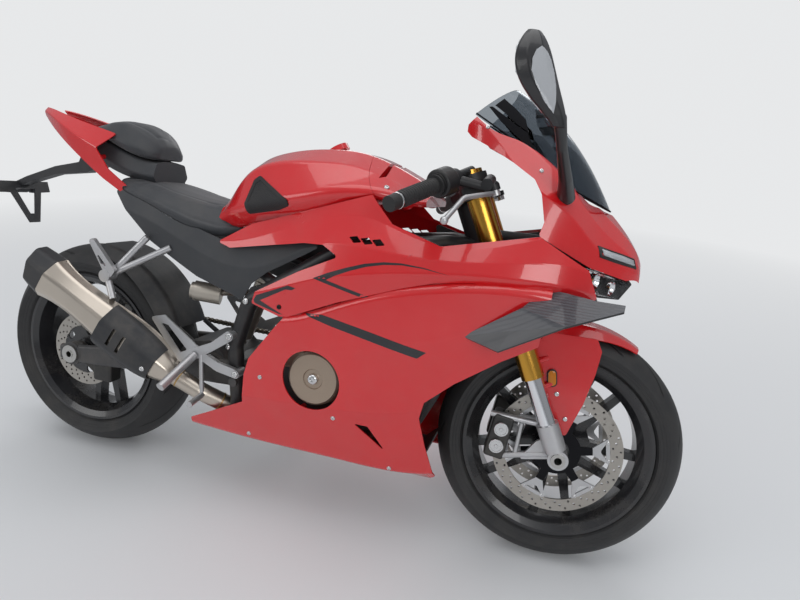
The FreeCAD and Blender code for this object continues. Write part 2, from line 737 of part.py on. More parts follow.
def silencer_cap():
    a, along, side, up, size = silencer_axes()
    cap = loft([silencer_ring(424.0 + SEAM, 46.5, 58.5, 20.0), silencer_ring(478.0, 42.0, 52.0, 18.0, lean=0.25)], True)
    v = a + along * 430.0
    hole = Part.makeCylinder(27.0, 120.0, v, along)
    return cap.cut(hole)


@lru_cache(maxsize=None)
def silencer_guard():
    """Slotted heat shield over the outer lower half of the can."""
    a, along, side, up, size = silencer_axes()
    rows = [(52.0, 38.0, 45.0, 18.0), (90.0, 44.0, 53.0, 20.0), (160.0, 46.0, 58.0, 20.0), (228.0, 46.0, 58.0, 20.0)]
    outer = loft([silencer_ring(*row, grow=8.0) for row in rows])
    inner_rows = [(40.0, 38.0, 42.0, 18.0)] + rows[1:3] + [(240.0, 46.0, 58.0, 20.0)]
    inner = loft([silencer_ring(*row, grow=5.0) for row in inner_rows])
    shield = outer.cut(inner)
    v = a + side * 200.0
    half = local_box(v, side, along, up, ((-196, -6), (-100, 300), (-80, 90)))
    shield = shield.common(half)
    for at in (150.0, 182.0):
        centre = a + along * at + side * 40.0
        shield = shield.cut(local_box(centre, side, along, up, ((0, 60), (-4.5, 4.5), (-20, 32))))
    shield = biggest(shield)
    can = silencer()
    for at in (95.0, 215.0):
        start = a + along * at + side * 90.0
        end = a + along * at + side * 20.0
        shield = boss(shield, tuple(start), tuple(end), 6.0, [can])
    return biggest(shield)


ARM_PLATE_IN = 118.0
ARM_PLATE_OUT = 141.0
AXLE_SPACER_R = 20.0
AXLE_NUT_R = 26.0
REAR_AXLE_HALF = 150.0
SEAT_GAP = 0.3


@lru_cache(maxsize=None)
def swingarm():
    """Twin arm from the pivot tube to the axle plates with a cross member before the tyre."""
    wires = []
    for x, y, z, half_wide, half_high in ((575, 104, 345, 13, 30), (380, 112, 342, 15, 34), (200, 116, 330, 12, 33),
                                          (30, 130, 316, 11, 26), (-40, 131, 314, 10, 22)):
        corners = [(x, y - half_wide, z - half_high), (x, y + half_wide, z - half_high),
                   (x, y + half_wide, z + half_high), (x, y - half_wide, z + half_high)]
        wires.append(rounded(corners, 8.0))
    arm = loft(wires)
    eye = rod((0, ARM_PLATE_IN, REAR_AXLE_Z), (0, ARM_PLATE_OUT, REAR_AXLE_Z), 34.0)
    arm = arm.fuse(eye)
    swing = arm.fuse(mirrored(arm))
    swing = swing.fuse(rod((PIVOT_X, -120, PIVOT_Z), (PIVOT_X, 120, PIVOT_Z), 31.0))
    brace = side_prism([(350, 318), (430, 316), (520, 330), (520, 362), (440, 392), (352, 392)], -105, 105, 12.0)
    hump = side_prism([(360, 360), (520, 345), (440, 420), (360, 404)], -92, 92, 12.0)
    swing = swing.fuse(brace).fuse(hump)
    swing = swing.fuse(rod((PIVOT_X, -171, PIVOT_Z), (PIVOT_X, 171, PIVOT_Z), 12.0))
    z = REAR_AXLE_Z
    swing = swing.cut(rod((0, -200, z), (0, 200, z), AXLE_R))
    for side in (-1, 1):
        swing = swing.cut(rod((0, side * ARM_PLATE_OUT, z), (0, side * 200, z), AXLE_NUT_R + SEAT_GAP))
        swing = swing.cut(rod((0, side * 80, z), (0, side * ARM_PLATE_IN, z), AXLE_SPACER_R + SEAT_GAP))
    return biggest(swing.cut(frame_main()))


def rear_axle():
    z = REAR_AXLE_Z
    shaft = sleeve((0, -REAR_AXLE_HALF, z), (0, REAR_AXLE_HALF, z), AXLE_R, AXLE_BORE)
    inner_right = REAR_DISC_Y + DISC_THICK / 2 + 0.5
    inner_left = CHAIN_Y + SPROCKET_THICK / 2 + 0.5
    outer = ARM_PLATE_OUT + SEAT_GAP
    for y0, y1, r in ((-inner_right, -ARM_PLATE_IN, AXLE_SPACER_R), (inner_left, ARM_PLATE_IN, AXLE_SPACER_R),
                      (-outer, -REAR_AXLE_HALF + 1.5, AXLE_NUT_R), (outer, REAR_AXLE_HALF - 1.5, AXLE_NUT_R - 2)):
        shaft = shaft.fuse(sleeve((0, y0, z), (0, y1, z), r, AXLE_R - 1))
    return shaft


def rear_caliper():
    a = math.radians(-28.0)
    cx = 96.0 * math.cos(a)
    cz = REAR_AXLE_Z + 96.0 * math.sin(a)
    body = box((cx - 32, cx + 32), (-REAR_DISC_Y - 28, -REAR_DISC_Y + 20), (cz - 34, cz + 22))
    body = body.makeFillet(8.0, body.Edges)
    slot = sleeve((0, -REAR_DISC_Y - 4.5, REAR_AXLE_Z), (0, -REAR_DISC_Y + 4.5, REAR_AXLE_Z), REAR_DISC_R + 5, 60.0)
    wheel_space = rod((0, -REAR_HUB_HALF + 20, REAR_AXLE_Z), (0, 0, REAR_AXLE_Z), 180.0)
    body = body.cut(slot).cut(wheel_space)
    bracket = side_prism([(16, 286), (28, 330), (cx + 30, cz + 10), (cx + 30, cz - 24), (cx - 10, cz - 24)],
                         -REAR_DISC_Y - 26, -REAR_DISC_Y - 16, 6.0)
    eye = sleeve((0, -REAR_DISC_Y - 16, REAR_AXLE_Z), (0, -ARM_PLATE_IN + SEAT_GAP, REAR_AXLE_Z), 31.0,
                 AXLE_SPACER_R + SEAT_GAP)
    body = body.fuse(bracket).fuse(eye).cut(swingarm())
    return biggest(body)


def shock():
    top = Vector(540, 0, 588)
    low = Vector(470, 0, 400)
    d = top - low
    d.normalize()
    rod_part = Part.makeCylinder(8, (top - low).Length, low, d)
    spring = Part.makeCylinder(31, 118, low + d * 26, d)
    body = Part.makeCylinder(22, 60, low + d * 140, d)
    res = rod((396, -112, 560), (462, -86, 552), 27.0).fuse(rod((388, -115, 561), (396, -112, 560), 22.0))
    arm = rod((430, -100, 556), (528, 0, 556), 9.0)
    eye = rod((low.x, -18, low.z), (low.x, 18, low.z), 15.0)
    eye_top = rod((top.x, -16, top.z), (top.x, 16, top.z), 15.0)
    unit = rod_part.fuse(spring).fuse(body).fuse(res).fuse(arm).fuse(eye).fuse(eye_top)
    return biggest(unit.cut(swingarm()).cut(frame_main()).cut(subframe()))


def rear_hugger():
    """Close mudguard over the front of the rear tyre, carried by the swingarm."""
    x, _, z = REAR_CENTRE
    r = REAR_RADIUS + 16.0
    wires = []
    for angle, rise, y1, y2, drop in ((82.0, 0.0, 60.0, 84.0, 22.0), (60.0, 4.0, 66.0, 95.0, 34.0),
                                      (40.0, 4.0, 66.0, 96.0, 40.0), (20.0, 2.0, 66.0, 94.0, 40.0)):
        a = math.radians(angle)
        line = [(-y2, r + rise - drop), (-y1, r + rise), (y1, r + rise), (y2, r + rise - drop)]
        inner = offset_line(line, 3.0)
        loop = line + inner[::-1]
        radii = [0.0, 24.0, 24.0, 0.0, 0.0, 24.0, 24.0, 0.0]
        wires.append(rounded([(x + q * math.cos(a), y, z + q * math.sin(a)) for y, q in loop], radii))
    guard = loft(wires)
    swing = swingarm()
    for side in (-1, 1):
        guard = guard.fuse(biggest(rod((309, side * 62, 426), (370, side * 62, 388), 7.0).cut(swing)))
    return guard


def chain():
    """Closed run of chain round both sprockets."""
    gap = 0.6
    outline = []
    r1, r2 = REAR_SPROCKET_R + gap, FRONT_SPROCKET_R + gap
    a = Vector(0, 0, REAR_AXLE_Z)
    b = Vector(FRONT_SPROCKET_X, 0, FRONT_SPROCKET_Z)
    span = (b - a).Length
    tilt = math.atan2(b.z - a.z, b.x - a.x)
    lean = math.acos((r1 - r2) / span)

    def loop(grow):
        ends = []
        for c, r in ((a, r1 + grow), (b, r2 + grow)):
            for sign in (1, -1):
                t = tilt + sign * lean
                ends.append(Vector(c.x + r * math.cos(t), 0, c.z + r * math.sin(t)))
        back = Vector(a.x - (r1 + grow) * math.cos(tilt), 0, a.z - (r1 + grow) * math.sin(tilt))
        front = Vector(b.x + (r2 + grow) * math.cos(tilt), 0, b.z + (r2 + grow) * math.sin(tilt))
        wire = Part.Wire([Part.Arc(ends[1], back, ends[0]).toShape(), Part.LineSegment(ends[0], ends[2]).toShape(),
                          Part.Arc(ends[2], front, ends[3]).toShape(), Part.LineSegment(ends[3], ends[1]).toShape()])
        return Part.Face(wire).extrude(Vector(0, CHAIN_WIDTH, 0))

    run = loop(CHAIN_HEIGHT).cut(loop(0.0))
    run.translate(Vector(0, CHAIN_Y - CHAIN_WIDTH / 2, 0))
    return run


def front_sprocket():
    x, z = FRONT_SPROCKET_X, FRONT_SPROCKET_Z
    wheel = rod((x, CHAIN_Y - 3, z), (x, CHAIN_Y + 3, z), FRONT_SPROCKET_R)
    shaft = rod((x, GEARBOX_HALF, z), (x, CHAIN_Y - 3, z), 16.0)
    return wheel.fuse(shaft)


def chain_drive():
    return Part.makeCompound([chain(), front_sprocket()])


# Side stand, drawn where it stands when the machine is parked

STAND_PIVOT = (560.0, 111.0, 190.0)
STAND_FOOT = (612.0, 262.0)
STAND_R = 11.0
STAND_LUG = 12.0
STAND_BACK = (-0.975, 0.17, -0.12)


def stand_directions():
    """Unit vectors down the leg, along its folded place, and the hinge between them."""
    pivot = Vector(*STAND_PIVOT)
    height = STAND_FOOT[1] * math.tan(math.radians(LEAN)) + 9.0
    foot = Vector(STAND_FOOT[0], STAND_FOOT[1], height)
    down = foot - pivot
    size = down.Length
    down.normalize()
    back = Vector(*STAND_BACK)
    back.normalize()
    hinge = down.cross(back)
    hinge.normalize()
    return pivot, foot, down, size, hinge


def local_box(origin, u, v, w, ranges):
    """Block between pairs of limits along three square directions from an origin."""
    block = box(*ranges)
    place = FreeCAD.Matrix(u.x, v.x, w.x, origin.x, u.y, v.y, w.y, origin.y, u.z, v.z, w.z, origin.z, 0, 0, 0, 1)
    return block.transformGeometry(place)


def stand_lug():
    """Eye that the side stand folds on, with its neck up to the lower cross tube."""
    pivot, foot, down, size, hinge = stand_directions()
    back = Vector(*STAND_BACK)
    back.normalize()
    neck = (down + back) * -1.0
    neck.normalize()
    across = hinge.cross(neck)
    half = STAND_LUG / 2
    lug = Part.makeCylinder(16.0, STAND_LUG, pivot - hinge * half, hinge)
    web = local_box(pivot, neck, across, hinge, ((0.0, 44.0), (-13.0, 13.0), (-half, half)))
    elbow = pivot + neck * 38.0
    strut = rod(tuple(elbow), (570, 70, 276), 11.0)
    eye = lug.fuse(web).fuse(strut)
    return eye.cut(Part.makeCylinder(6.0 + RUN_CLEAR, 80.0, pivot - hinge * 40.0, hinge))


def side_stand():
    pivot, foot, down, size, hinge = stand_directions()
    gap = STAND_LUG / 2 + 0.3
    leg = Part.makeCylinder(STAND_R, size - 28.0, pivot + down * 28.0, down)
    across = down.cross(hinge)
    stand = leg
    for side in (-1.0, 1.0):
        start = pivot + hinge * (side * gap)
        cheek = Part.makeCylinder(14.0, 6.0, start, hinge * side)
        link = local_box(start, down, across * side, hinge * side, ((0.0, 42.0), (-10.0, 10.0), (0.0, 6.0)))
        stand = stand.fuse(cheek).fuse(link)
    pin = Part.makeCylinder(6.0, 2 * gap + 12.0, pivot - hinge * (gap + 6.0), hinge)
    stand = stand.fuse(pin)
    lean = math.radians(LEAN)
    shoe = Part.makeBox(64.0, 46.0, 7.0, Vector(-32, -23, -3.5))
    shoe = shoe.makeFillet(3.0, shoe.Edges)
    shoe.rotate(Vector(0, 0, 0), Vector(1, 0, 0), LEAN)
    ground = STAND_FOOT[1] * math.tan(lean)
    shoe.translate(Vector(foot.x + 4, foot.y, ground + 3.5 / math.cos(lean)))
    return stand.fuse(shoe)


# Tank, seats and tail


def body_loft(rows, radius):
    """Closed body over cross sections: rows of x and then the left half's (y, z) points, low to high."""
    wires = []
    for x, *half in rows:
        loop = [(x, y, z) for y, z in half] + [(x, -y, z) for y, z in half[::-1]]
        wires.append(rounded(loop, radius))
    return loft(wires)


@lru_cache(maxsize=None)
def tank_body():
    rows = [
        (462, (96, 742), (112, 762), (92, 792), (40, 806)),
        (500, (104, 742), (130, 782), (98, 838), (44, 858)),
        (545, (116, 748), (148, 798), (112, 886), (50, 912)),
        (620, (128, 770), (166, 818), (124, 918), (52, 947)),
        (740, (148, 802), (184, 848), (132, 930), (52, 966)),
        (850, (160, 838), (190, 872), (126, 926), (50, 960)),
        (960, (138, 842), (160, 870), (104, 892), (44, 920)),
        (1016, (100, 846), (116, 862), (80, 874), (36, 886)),
    ]
    return body_loft(rows, 24.0)


@lru_cache(maxsize=None)
def seam_space():
    """Everything ahead of the joint between tank and front cover."""
    return side_prism([(838, 990), (880, 905), (912, 862), (920, 700), (1300, 700), (1300, 990)], -300, 300, 20.0)


def fuel_tank():
    tank = tank_body().cut(seam_space())
    cap = rod((742, 0, 960), (734, 0, 972), 30.0)
    return biggest(tank.fuse(cap).cut(frame_main()))


def tank_front_cover():
    ahead = seam_space()
    ahead.translate(Vector(SEAM * 2, 0, 0))
    cover = tank_body().common(ahead)
    hollow = body_loft([
        (900, (150, 836), (176, 866), (118, 918), (44, 948)),
        (960, (130, 836), (150, 864), (98, 884), (40, 912)),
        (1008, (92, 836), (106, 854), (74, 866), (32, 878)),
    ], 22.0)
    hollow = hollow.fuse(box((838, 1016), (-130, 130), (700, 850)))
    cover = cover.cut(hollow)
    head_room = steer_frame(rod((0, 0, 700), (0, 0, 1200), 60.0), False)
    return biggest(cover.cut(head_room).cut(frame_main()))


def tank_pads():
    """Ribbed rubber knee pad on each flank."""
    shell = body_loft([
        (545, (116, 748), (151, 798), (115, 888), (50, 914)),
        (620, (128, 768), (169, 818), (127, 920), (52, 949)),
        (740, (148, 800), (187, 848), (135, 932), (52, 968)),
    ], 24.0)
    outline = [(570, 786), (660, 806), (692, 820), (690, 834), (590, 884), (574, 872), (560, 812)]
    pad = shell.common(side_prism(outline, 60, 260, 8.0)).cut(tank_body())
    return both(biggest(pad))


@lru_cache(maxsize=None)
def rider_seat():
    rows = [
        (128, (88, 802), (104, 822), (80, 840), (30, 846)),
        (200, (118, 786), (136, 806), (104, 830), (36, 837)),
        (300, (138, 760), (153, 782), (112, 812), (36, 819)),
        (400, (140, 724), (153, 750), (104, 794), (34, 802)),
        (470, (124, 712), (138, 738), (84, 786), (30, 796)),
        (540, (96, 742), (108, 752), (60, 772), (24, 780)),
    ]
    seat = body_loft(rows, 16.0)
    return biggest(seat.cut(tank_body()))


@lru_cache(maxsize=None)
def pillion_seat():
    rows = [
        (2, (40, 950), (52, 962), (36, 976), (14, 979)),
        (70, (72, 934), (88, 952), (60, 986), (24, 992)),
        (150, (80, 906), (96, 926), (66, 982), (26, 991)),
        (205, (66, 894), (80, 910), (54, 950), (20, 962)),
        (226, (44, 896), (52, 906), (36, 926), (14, 934)),
    ]
    return body_loft(rows, 12.0)


@lru_cache(maxsize=None)
def tail_centre():
    rows = [
        (-150, (22, 958), (34, 974), (30, 990), (12, 996)),
        (-60, (44, 915), (58, 938), (50, 966), (18, 974)),
        (60, (60, 862), (76, 888), (66, 930), (24, 940)),
        (150, (66, 838), (82, 860), (70, 900), (26, 908)),
        (225, (60, 832), (74, 850), (60, 886), (22, 892)),
    ]
    body = body_loft(rows, 10.0)
    return body.cut(pillion_seat()).cut(rider_seat())


@lru_cache(maxsize=None)
def tail_wings():
    stations = [
        (-186, (30, 1016), (42, 1004), (38, 992)),
        (-90, (60, 998), (84, 974), (80, 936)),
        (30, (80, 972), (112, 928), (108, 868)),
        (110, (90, 956), (120, 900), (114, 820)),
        (256, (96, 880), (126, 800), (120, 744)),
    ]
    wing = skin(stations, PANEL_WALL, 8.0)
    outline = [(-190, 1030), (116, 955), (70, 912), (112, 858), (262, 764), (250, 752), (78, 838), (-104, 940),
               (-200, 1000)]
    wing = wing.common(side_prism(outline, 0, 300, 5.0))
    centre = tail_centre()
    wing = boss(wing, (-60, 100, 950), (-60, 10, 950), 7.0, [centre])
    wing = boss(wing, (60, 130, 880), (60, 10, 900), 7.0, [centre])
    return both(biggest(wing.cut(rider_seat())))


def tail_light():
    lamp = side_prism([(-168, 986), (-150, 992), (-138, 960), (-158, 966)], -26, 26, 3.0)
    return biggest(lamp.cut(tail_centre()))


@lru_cache(maxsize=None)
def subframe():
    path = [(664, 150, 620), (560, 104, 652), (300, 84, 700), (120, 62, 838), (-40, 46, 905)]
    left = pipe(path, 13.0, 50.0)
    cross = rod((330, -90, 694), (330, 90, 694), 12.0)
    rear = rod((60, -60, 870), (60, 60, 870), 10.0)
    rails = left.fuse(mirrored(left)).fuse(cross).fuse(rear)
    rails = rails.cut(frame_main()).cut(rider_seat()).cut(tail_centre())
    return biggest(rails)


@lru_cache(maxsize=None)
def side_covers():
    stations = [
        (110, (98, 830), (112, 780), (96, 720)),
        (260, (134, 800), (146, 740), (120, 660)),
        (420, (142, 748), (154, 680), (138, 590)),
        (560, (144, 722), (156, 650), (146, 560)),
        (700, (156, 745), (170, 700), (160, 600)),
        (800, (168, 770), (182, 730), (170, 650)),
    ]
    cover = skin(stations, PANEL_WALL, 14.0)
    outline = [(120, 816), (286, 776), (447, 726), (533, 702), (754, 738), (790, 736), (740, 706), (640, 650),
               (592, 612), (560, 560), (540, 572), (421, 606), (262, 680)]
    cover = cover.common(side_prism(outline, 0, 300, 8.0))
    cover = cover.cut(spar(0.6)).cut(rider_seat())
    cover = biggest(cover)
    rails = subframe()
    for x, z, rail_y, rail_z in ((300.0, 720.0, 84.0, 700.0), (500.0, 660.0, 97.0, 663.0)):
        cover = boss(cover, (x, 190, z), (x, rail_y, rail_z), 7.0, [rails])
    covers = both(biggest(cover)).cut(tail_wings())
    return Part.makeCompound(sorted(covers.Solids, key=lambda part: -part.Volume)[:2])


def plate_bracket():
    """Long arm, cross bar with lamps and an open V-shaped plate."""
    arm = side_prism([(-60, 930), (10, 905), (0, 862), (-60, 838), (-178, 822), (-290, 786), (-392, 748), (-396, 760),
                      (-292, 806), (-180, 846), (-90, 866)], -16, 16, 6.0)
    bar = rod((-386, -62, 756), (-386, 62, 756), 9.0)
    holder = Part.makePolygon([Vector(0, -88, 0), Vector(0, 88, 0), Vector(0, 86, -34), Vector(0, 52, -36),
                               Vector(0, 18, -132), Vector(0, -18, -132), Vector(0, -52, -36), Vector(0, -86, -34),
                               Vector(0, -88, 0)])
    hole = Part.makePolygon([Vector(0, -34, -22), Vector(0, 34, -22), Vector(0, 8, -104), Vector(0, -8, -104),
                             Vector(0, -34, -22)])
    plate = Part.Face(holder).extrude(Vector(4, 0, 0)).cut(Part.Face(hole).extrude(Vector(4, 0, 0)))
    plate.rotate(Vector(0, 0, 0), Vector(0, 1, 0), -20.0)
    plate.translate(Vector(-330, 0, 786))
    bracket = arm.fuse(bar).fuse(plate)
    return biggest(bracket.cut(tail_centre()).cut(subframe()))


def rear_indicators():
    lamp = rod((-386, 62, 756), (-386, 76, 756), 7.0)
    body = rod((-384, 76, 756), (-392, 138, 760), 12.0).common(box((-420, -340), (60, 200), (746, 768)))
    return both(lamp.fuse(body))


# Fairing


@lru_cache(maxsize=None)
def upper_panel():
    """Upper side panel, from its pointed rear end beside the seat to the nose."""
    stations = [
        (490, (138, 722), (150, 712), (156, 700), (160, 640), (154, 560)),
        (620, (148, 786), (170, 738), (186, 690), (206, 600), (200, 560)),
        (760, (164, 826), (182, 792), (208, 735), (224, 650), (218, 566)),
        (900, (182, 872), (196, 818), (224, 752), (234, 690), (226, 626)),
        (1080, (200, 812), (216, 776), (232, 746), (240, 716), (228, 690)),
        (1290, (186, 838), (202, 816), (222, 766), (230, 726), (214, 700)),
        (1424, (118, 784), (132, 764), (144, 738), (148, 704), (142, 684)),
    ]
    panel = skin(stations, PANEL_WALL, 16.0)
    outline = [(488, 708), (533, 698), (756, 741), (808, 744), (852, 722), (752, 674), (636, 607), (624, 576),
               (717, 554), (860, 618), (1011, 674), (1083, 696), (1162, 708), (1304, 713), (1424, 695),
               (1396, 760), (1288, 820), (1084, 775), (966, 809), (906, 868), (585, 764)]
    return biggest(panel.common(side_prism(outline, 0, 400, 5.0)))


COWL_POST = ((1040, 280, 735), (985, 100, 758))


@lru_cache(maxsize=None)
def side_fairing():
    panel = upper_panel().cut(tank_body())
    panel = biggest(panel)
    for slot in range(3):
        x = 884.0 + 28.0 * slot
        cutter = side_prism([(x, 758), (x + 20, 762), (x + 6, 774), (x - 14, 770)], 100, 300, 1.5)
        panel = panel.cut(cutter)
    frame = frame_main()
    panel = boss(panel, (700, 260, 630), (760, 100, 600), PANEL_HOLE, [frame, engine_block()])
    panel = boss(panel, COWL_POST[0], COWL_POST[1], PANEL_HOLE, [frame])
    return biggest(panel)


TAIL_RIGHT = ((434, 219), (435, 196), (622, 176))
TAIL_LEFT = ((664, 240), (668, 176))
LOWER_ROWS = [
    (425, (158, 560), (186, 556), (188, 470), (184, 330), (160, 200), (130, 191), (104, 190)),
    (610, (176, 560), (206, 556), (208, 470), (202, 330), (164, 196), (130, 184), (96, 183)),
    (730, (186, 572), (218, 561), (216, 470), (207, 340), (160, 193), (126, 182), (92, 181)),
    (860, (194, 626), (226, 612), (222, 500), (210, 350), (157, 192), (124, 182), (90, 181)),
    (1010, (204, 684), (237, 668), (230, 540), (206, 370), (150, 191), (120, 182), (90, 181)),
    (1165, (208, 716), (243, 702), (232, 600), (204, 430), (146, 230), (120, 190), (92, 184)),
    (1330, (190, 722), (232, 708), (222, 640), (190, 540), (150, 400), (130, 380), (110, 372)),
]


@lru_cache(maxsize=None)
def lower_panel(rear):
    """Main side panel with its shoulder, flank and tucked belly; rear trims the tail."""
    panel = skin(LOWER_ROWS, PANEL_WALL, 20.0)
    outline = [(719, 740), (717, 553), (698, 530), (626, 434), (613, 389), (608, 311)]
    outline = outline + list(rear)
    outline = outline + [(1095, 176), (1118, 196), (1091, 290), (1075, 367), (1085, 412), (1149, 472), (1246, 544),
                         (1318, 588), (1334, 740)]
    panel = biggest(panel.common(side_prism(outline, 0, 400, 5.0)))
    hole = rod((CLUTCH_X, 130, CLUTCH_Z), (CLUTCH_X, 300, CLUTCH_Z), CLUTCH_R + PANEL_HOLE)
    vent = side_prism([(915, 319), (950, 318), (996, 250)], 100, 300, 2.0)
    return panel.cut(hole).cut(vent)


def lower_fairing(rear):
    panel = lower_panel(rear)
    upper = upper_panel()
    panel = panel.cut(upper)
    block = engine_block()
    covers = Part.makeCompound([engine_covers()])
    panel = biggest(panel)
    for x, z in ((930.0, 440.0), (860.0, 290.0), (745.0, 300.0)):
        panel = boss(panel, (x, 280, z), (x, 60, z), PANEL_HOLE, [block, frame_main(), covers])
    return biggest(panel)


def lower_right():
    return mirrored(lower_fairing(TAIL_RIGHT))


def lower_left():
    return lower_fairing(TAIL_LEFT)


def belly_pan():
    floor = side_prism([(690, 184.6 + SEAM), (1040, 184.6 + SEAM), (1078, 222), (1075, 226), (1038, 188 + SEAM),
                        (690, 188 + SEAM)], -112, 112, 2.0)
    floor = floor.cut(lower_panel(TAIL_LEFT)).cut(mirrored(lower_panel(TAIL_RIGHT)))
    return biggest(floor)


def screen_opening():
    """Space that the screen fills, seen from above."""
    half = [(1436, 0), (1412, 40), (1376, 84), (1334, 116), (1240, 132), (1060, 132), (900, 130)]
    return top_prism(half + [(x, -y) for x, y in half[:0:-1]], 600, 1400, 4.0)


@lru_cache(maxsize=None)
def cowl_shell():
    halves = [
        (1100, (0, 1118), (60, 1108), (120, 1084), (146, 1052), (160, 964)),
        (1206, (0, 1068), (60, 1058), (130, 1020), (158, 970), (172, 900)),
        (1280, (0, 1014), (60, 1004), (134, 974), (180, 908), (202, 820)),
        (1340, (0, 960), (60, 952), (124, 921), (168, 870), (180, 790)),
        (1400, (0, 908), (55, 890), (98, 856), (134, 812), (142, 745)),
        (1455, (0, 856), (40, 843), (74, 812), (96, 775), (100, 735)),
        (1512, (0, 776), (14, 771), (28, 759), (36, 746), (38, 732)),
    ]
    rows = []
    for x, *half in halves:
        rows.append([x] + [(-y, z) for y, z in half[:0:-1]] + half)
    return skin(rows, PANEL_WALL, 14.0)


@lru_cache(maxsize=None)
def upper_cowl():
    cowl = cowl_shell().cut(screen_opening())
    keep = [(1116, 1062), (1094, 1030), (1110, 1014), (1152, 996), (1206, 968), (1258, 936), (1277, 907), (1291, 850),
            (1284, 822), (1396, 764), (1494, 734), (1530, 730), (1530, 900), (1300, 1120), (1116, 1120)]
    cowl = cowl.common(side_prism(keep, -300, 300, 8.0))
    cowl = biggest(cowl)
    cowl = cowl.cut(both(upper_panel()))
    return biggest(cowl)


def windscreen():
    rows = [
        # middle x and z, edge x and z, edge y
        (1428.0, 884.0, 1336.0, 924.0, 114.0),
        (1358.0, 992.0, 1262.0, 982.0, 127.0),
        (1278.0, 1076.0, 1180.0, 1027.0, 127.0),
        (1184.0, 1138.0, 1108.0, 1068.0, 112.0),
    ]
    wires = []
    for cx, cz, ex, ez, ey in rows:
        middle = Vector(cx, 0, cz)
        left = Vector(ex, ey, ez)
        right = Vector(ex, -ey, ez)
        inward = Vector(ex - cx, 0, ez - cz)
        inward.normalize()
        middle_in = middle + inward * 3.0
        left_in = left + inward * 3.5 + Vector(0, -2.0, 0)
        right_in = Vector(left_in.x, -left_in.y, left_in.z)
        wires.append(Part.Wire([Part.Arc(right, middle, left).toShape(), Part.LineSegment(left, left_in).toShape(),
                                Part.Arc(left_in, middle_in, right_in).toShape(),
                                Part.LineSegment(right_in, right).toShape()]))
    return biggest(loft(wires).cut(upper_cowl()))


@lru_cache(maxsize=None)
def headlights():
    """Lamp pair under the brow."""
    outer = rounded([(1392, 132, 762), (1418, 132, 708), (1396, 132, 706), (1372, 132, 752)], 4.0)
    inner = rounded([(1494, 40, 730), (1474, 40, 690), (1440, 40, 690), (1456, 40, 732)], 4.0)
    lamp = loft([outer, inner], True)
    return both(biggest(lamp.cut(upper_cowl()).cut(upper_panel())))


@lru_cache(maxsize=None)
def lamp_housing():
    middle = side_prism([(1500, 730), (1476, 688), (1430, 686), (1380, 700), (1390, 740), (1450, 735)], -39, 39, 4.0)
    side = side_prism([(1378, 700), (1412, 704), (1430, 686), (1380, 684)], 39, 134, 3.0)
    unit = middle.fuse(side).fuse(mirrored(side))
    unit = unit.cut(upper_cowl()).cut(headlights())
    return biggest(unit)


@lru_cache(maxsize=None)
def front_stay():
    """Bracket from the steering head to the nose, with the instrument on it."""
    stay = rod((1150, 0, 800), (1330, 0, 800), 12.0)
    head = steer_frame(rod((0, 0, 700), (0, 0, 1000), HEAD_R), False)
    cross = rod((1330, -120, 800), (1330, 120, 800), 10.0)
    post = rod((1330, 0, 800), (1270, 0, 965), 10.0)
    unit = stay.fuse(cross).fuse(post).cut(head)
    arm = rod((1330, 100, 800), (1420, 100, 720), 9.0)
    unit = unit.fuse(arm).fuse(mirrored(arm))
    unit = unit.cut(lamp_housing()).cut(headlights()).cut(upper_cowl())
    return biggest(unit)


def instrument():
    panel = Part.makeBox(16.0, 150.0, 90.0, Vector(-8, -75, -45))
    panel = panel.makeFillet(5.0, panel.Edges)
    panel.rotate(Vector(0, 0, 0), Vector(0, 1, 0), -38.0)
    panel.translate(Vector(1262, 0, 985))
    return panel.cut(front_stay())


def winglet():
    """Folded aero blade: a ribbed upper plane and a lower plane that tucks back to the flank."""
    fold_rear, fold_front = (1275, 249, 675.5), (1365, 299, 661)
    inner = (1415, 236, 709.6)
    top = [(1290, 230, 690), (1336, 205, 714), inner, (1470, 250, 711), (1468, 265, 701), fold_front, fold_rear]
    web = [(1300, 200, 690), (1421, 140, 691), inner, (1336, 205, 714)]
    low = [fold_rear, fold_front, (1238, 262, 578), (1157, 228, 590)]
    blade = None
    for corners, shift in ((top, Vector(0, 0, -4)), (web, Vector(0, 0, -4)), (low, Vector(2, -3, -3))):
        centre = [sum(c[i] for c in corners) / len(corners) for i in range(3)]
        faces = []
        count = len(corners)
        for lift in (Vector(0, 0, 0), shift):
            pts = [Vector(*c) + lift for c in corners]
            mid = Vector(*centre) + lift
            for i in range(count):
                faces.append(Part.Face(Part.makePolygon([mid, pts[i], pts[(i + 1) % count], mid])))
        for i in range(count):
            a, b = Vector(*corners[i]), Vector(*corners[(i + 1) % count])
            faces.append(Part.Face(Part.makePolygon([a, b, b + shift, a])))
            faces.append(Part.Face(Part.makePolygon([a, b + shift, a + shift, a])))
        solid = Part.Solid(Part.makeShell(faces))
        if solid.Volume < 0:
            solid.reverse()
        blade = solid if blade is None else blade.fuse(solid)
    return blade


def winglets():
    blade = winglet()
    blade = blade.cut(upper_panel()).cut(lower_panel(TAIL_LEFT))
    return both(biggest(blade))


MIRROR_Y = 322.0
MIRROR_TURN = 28.0


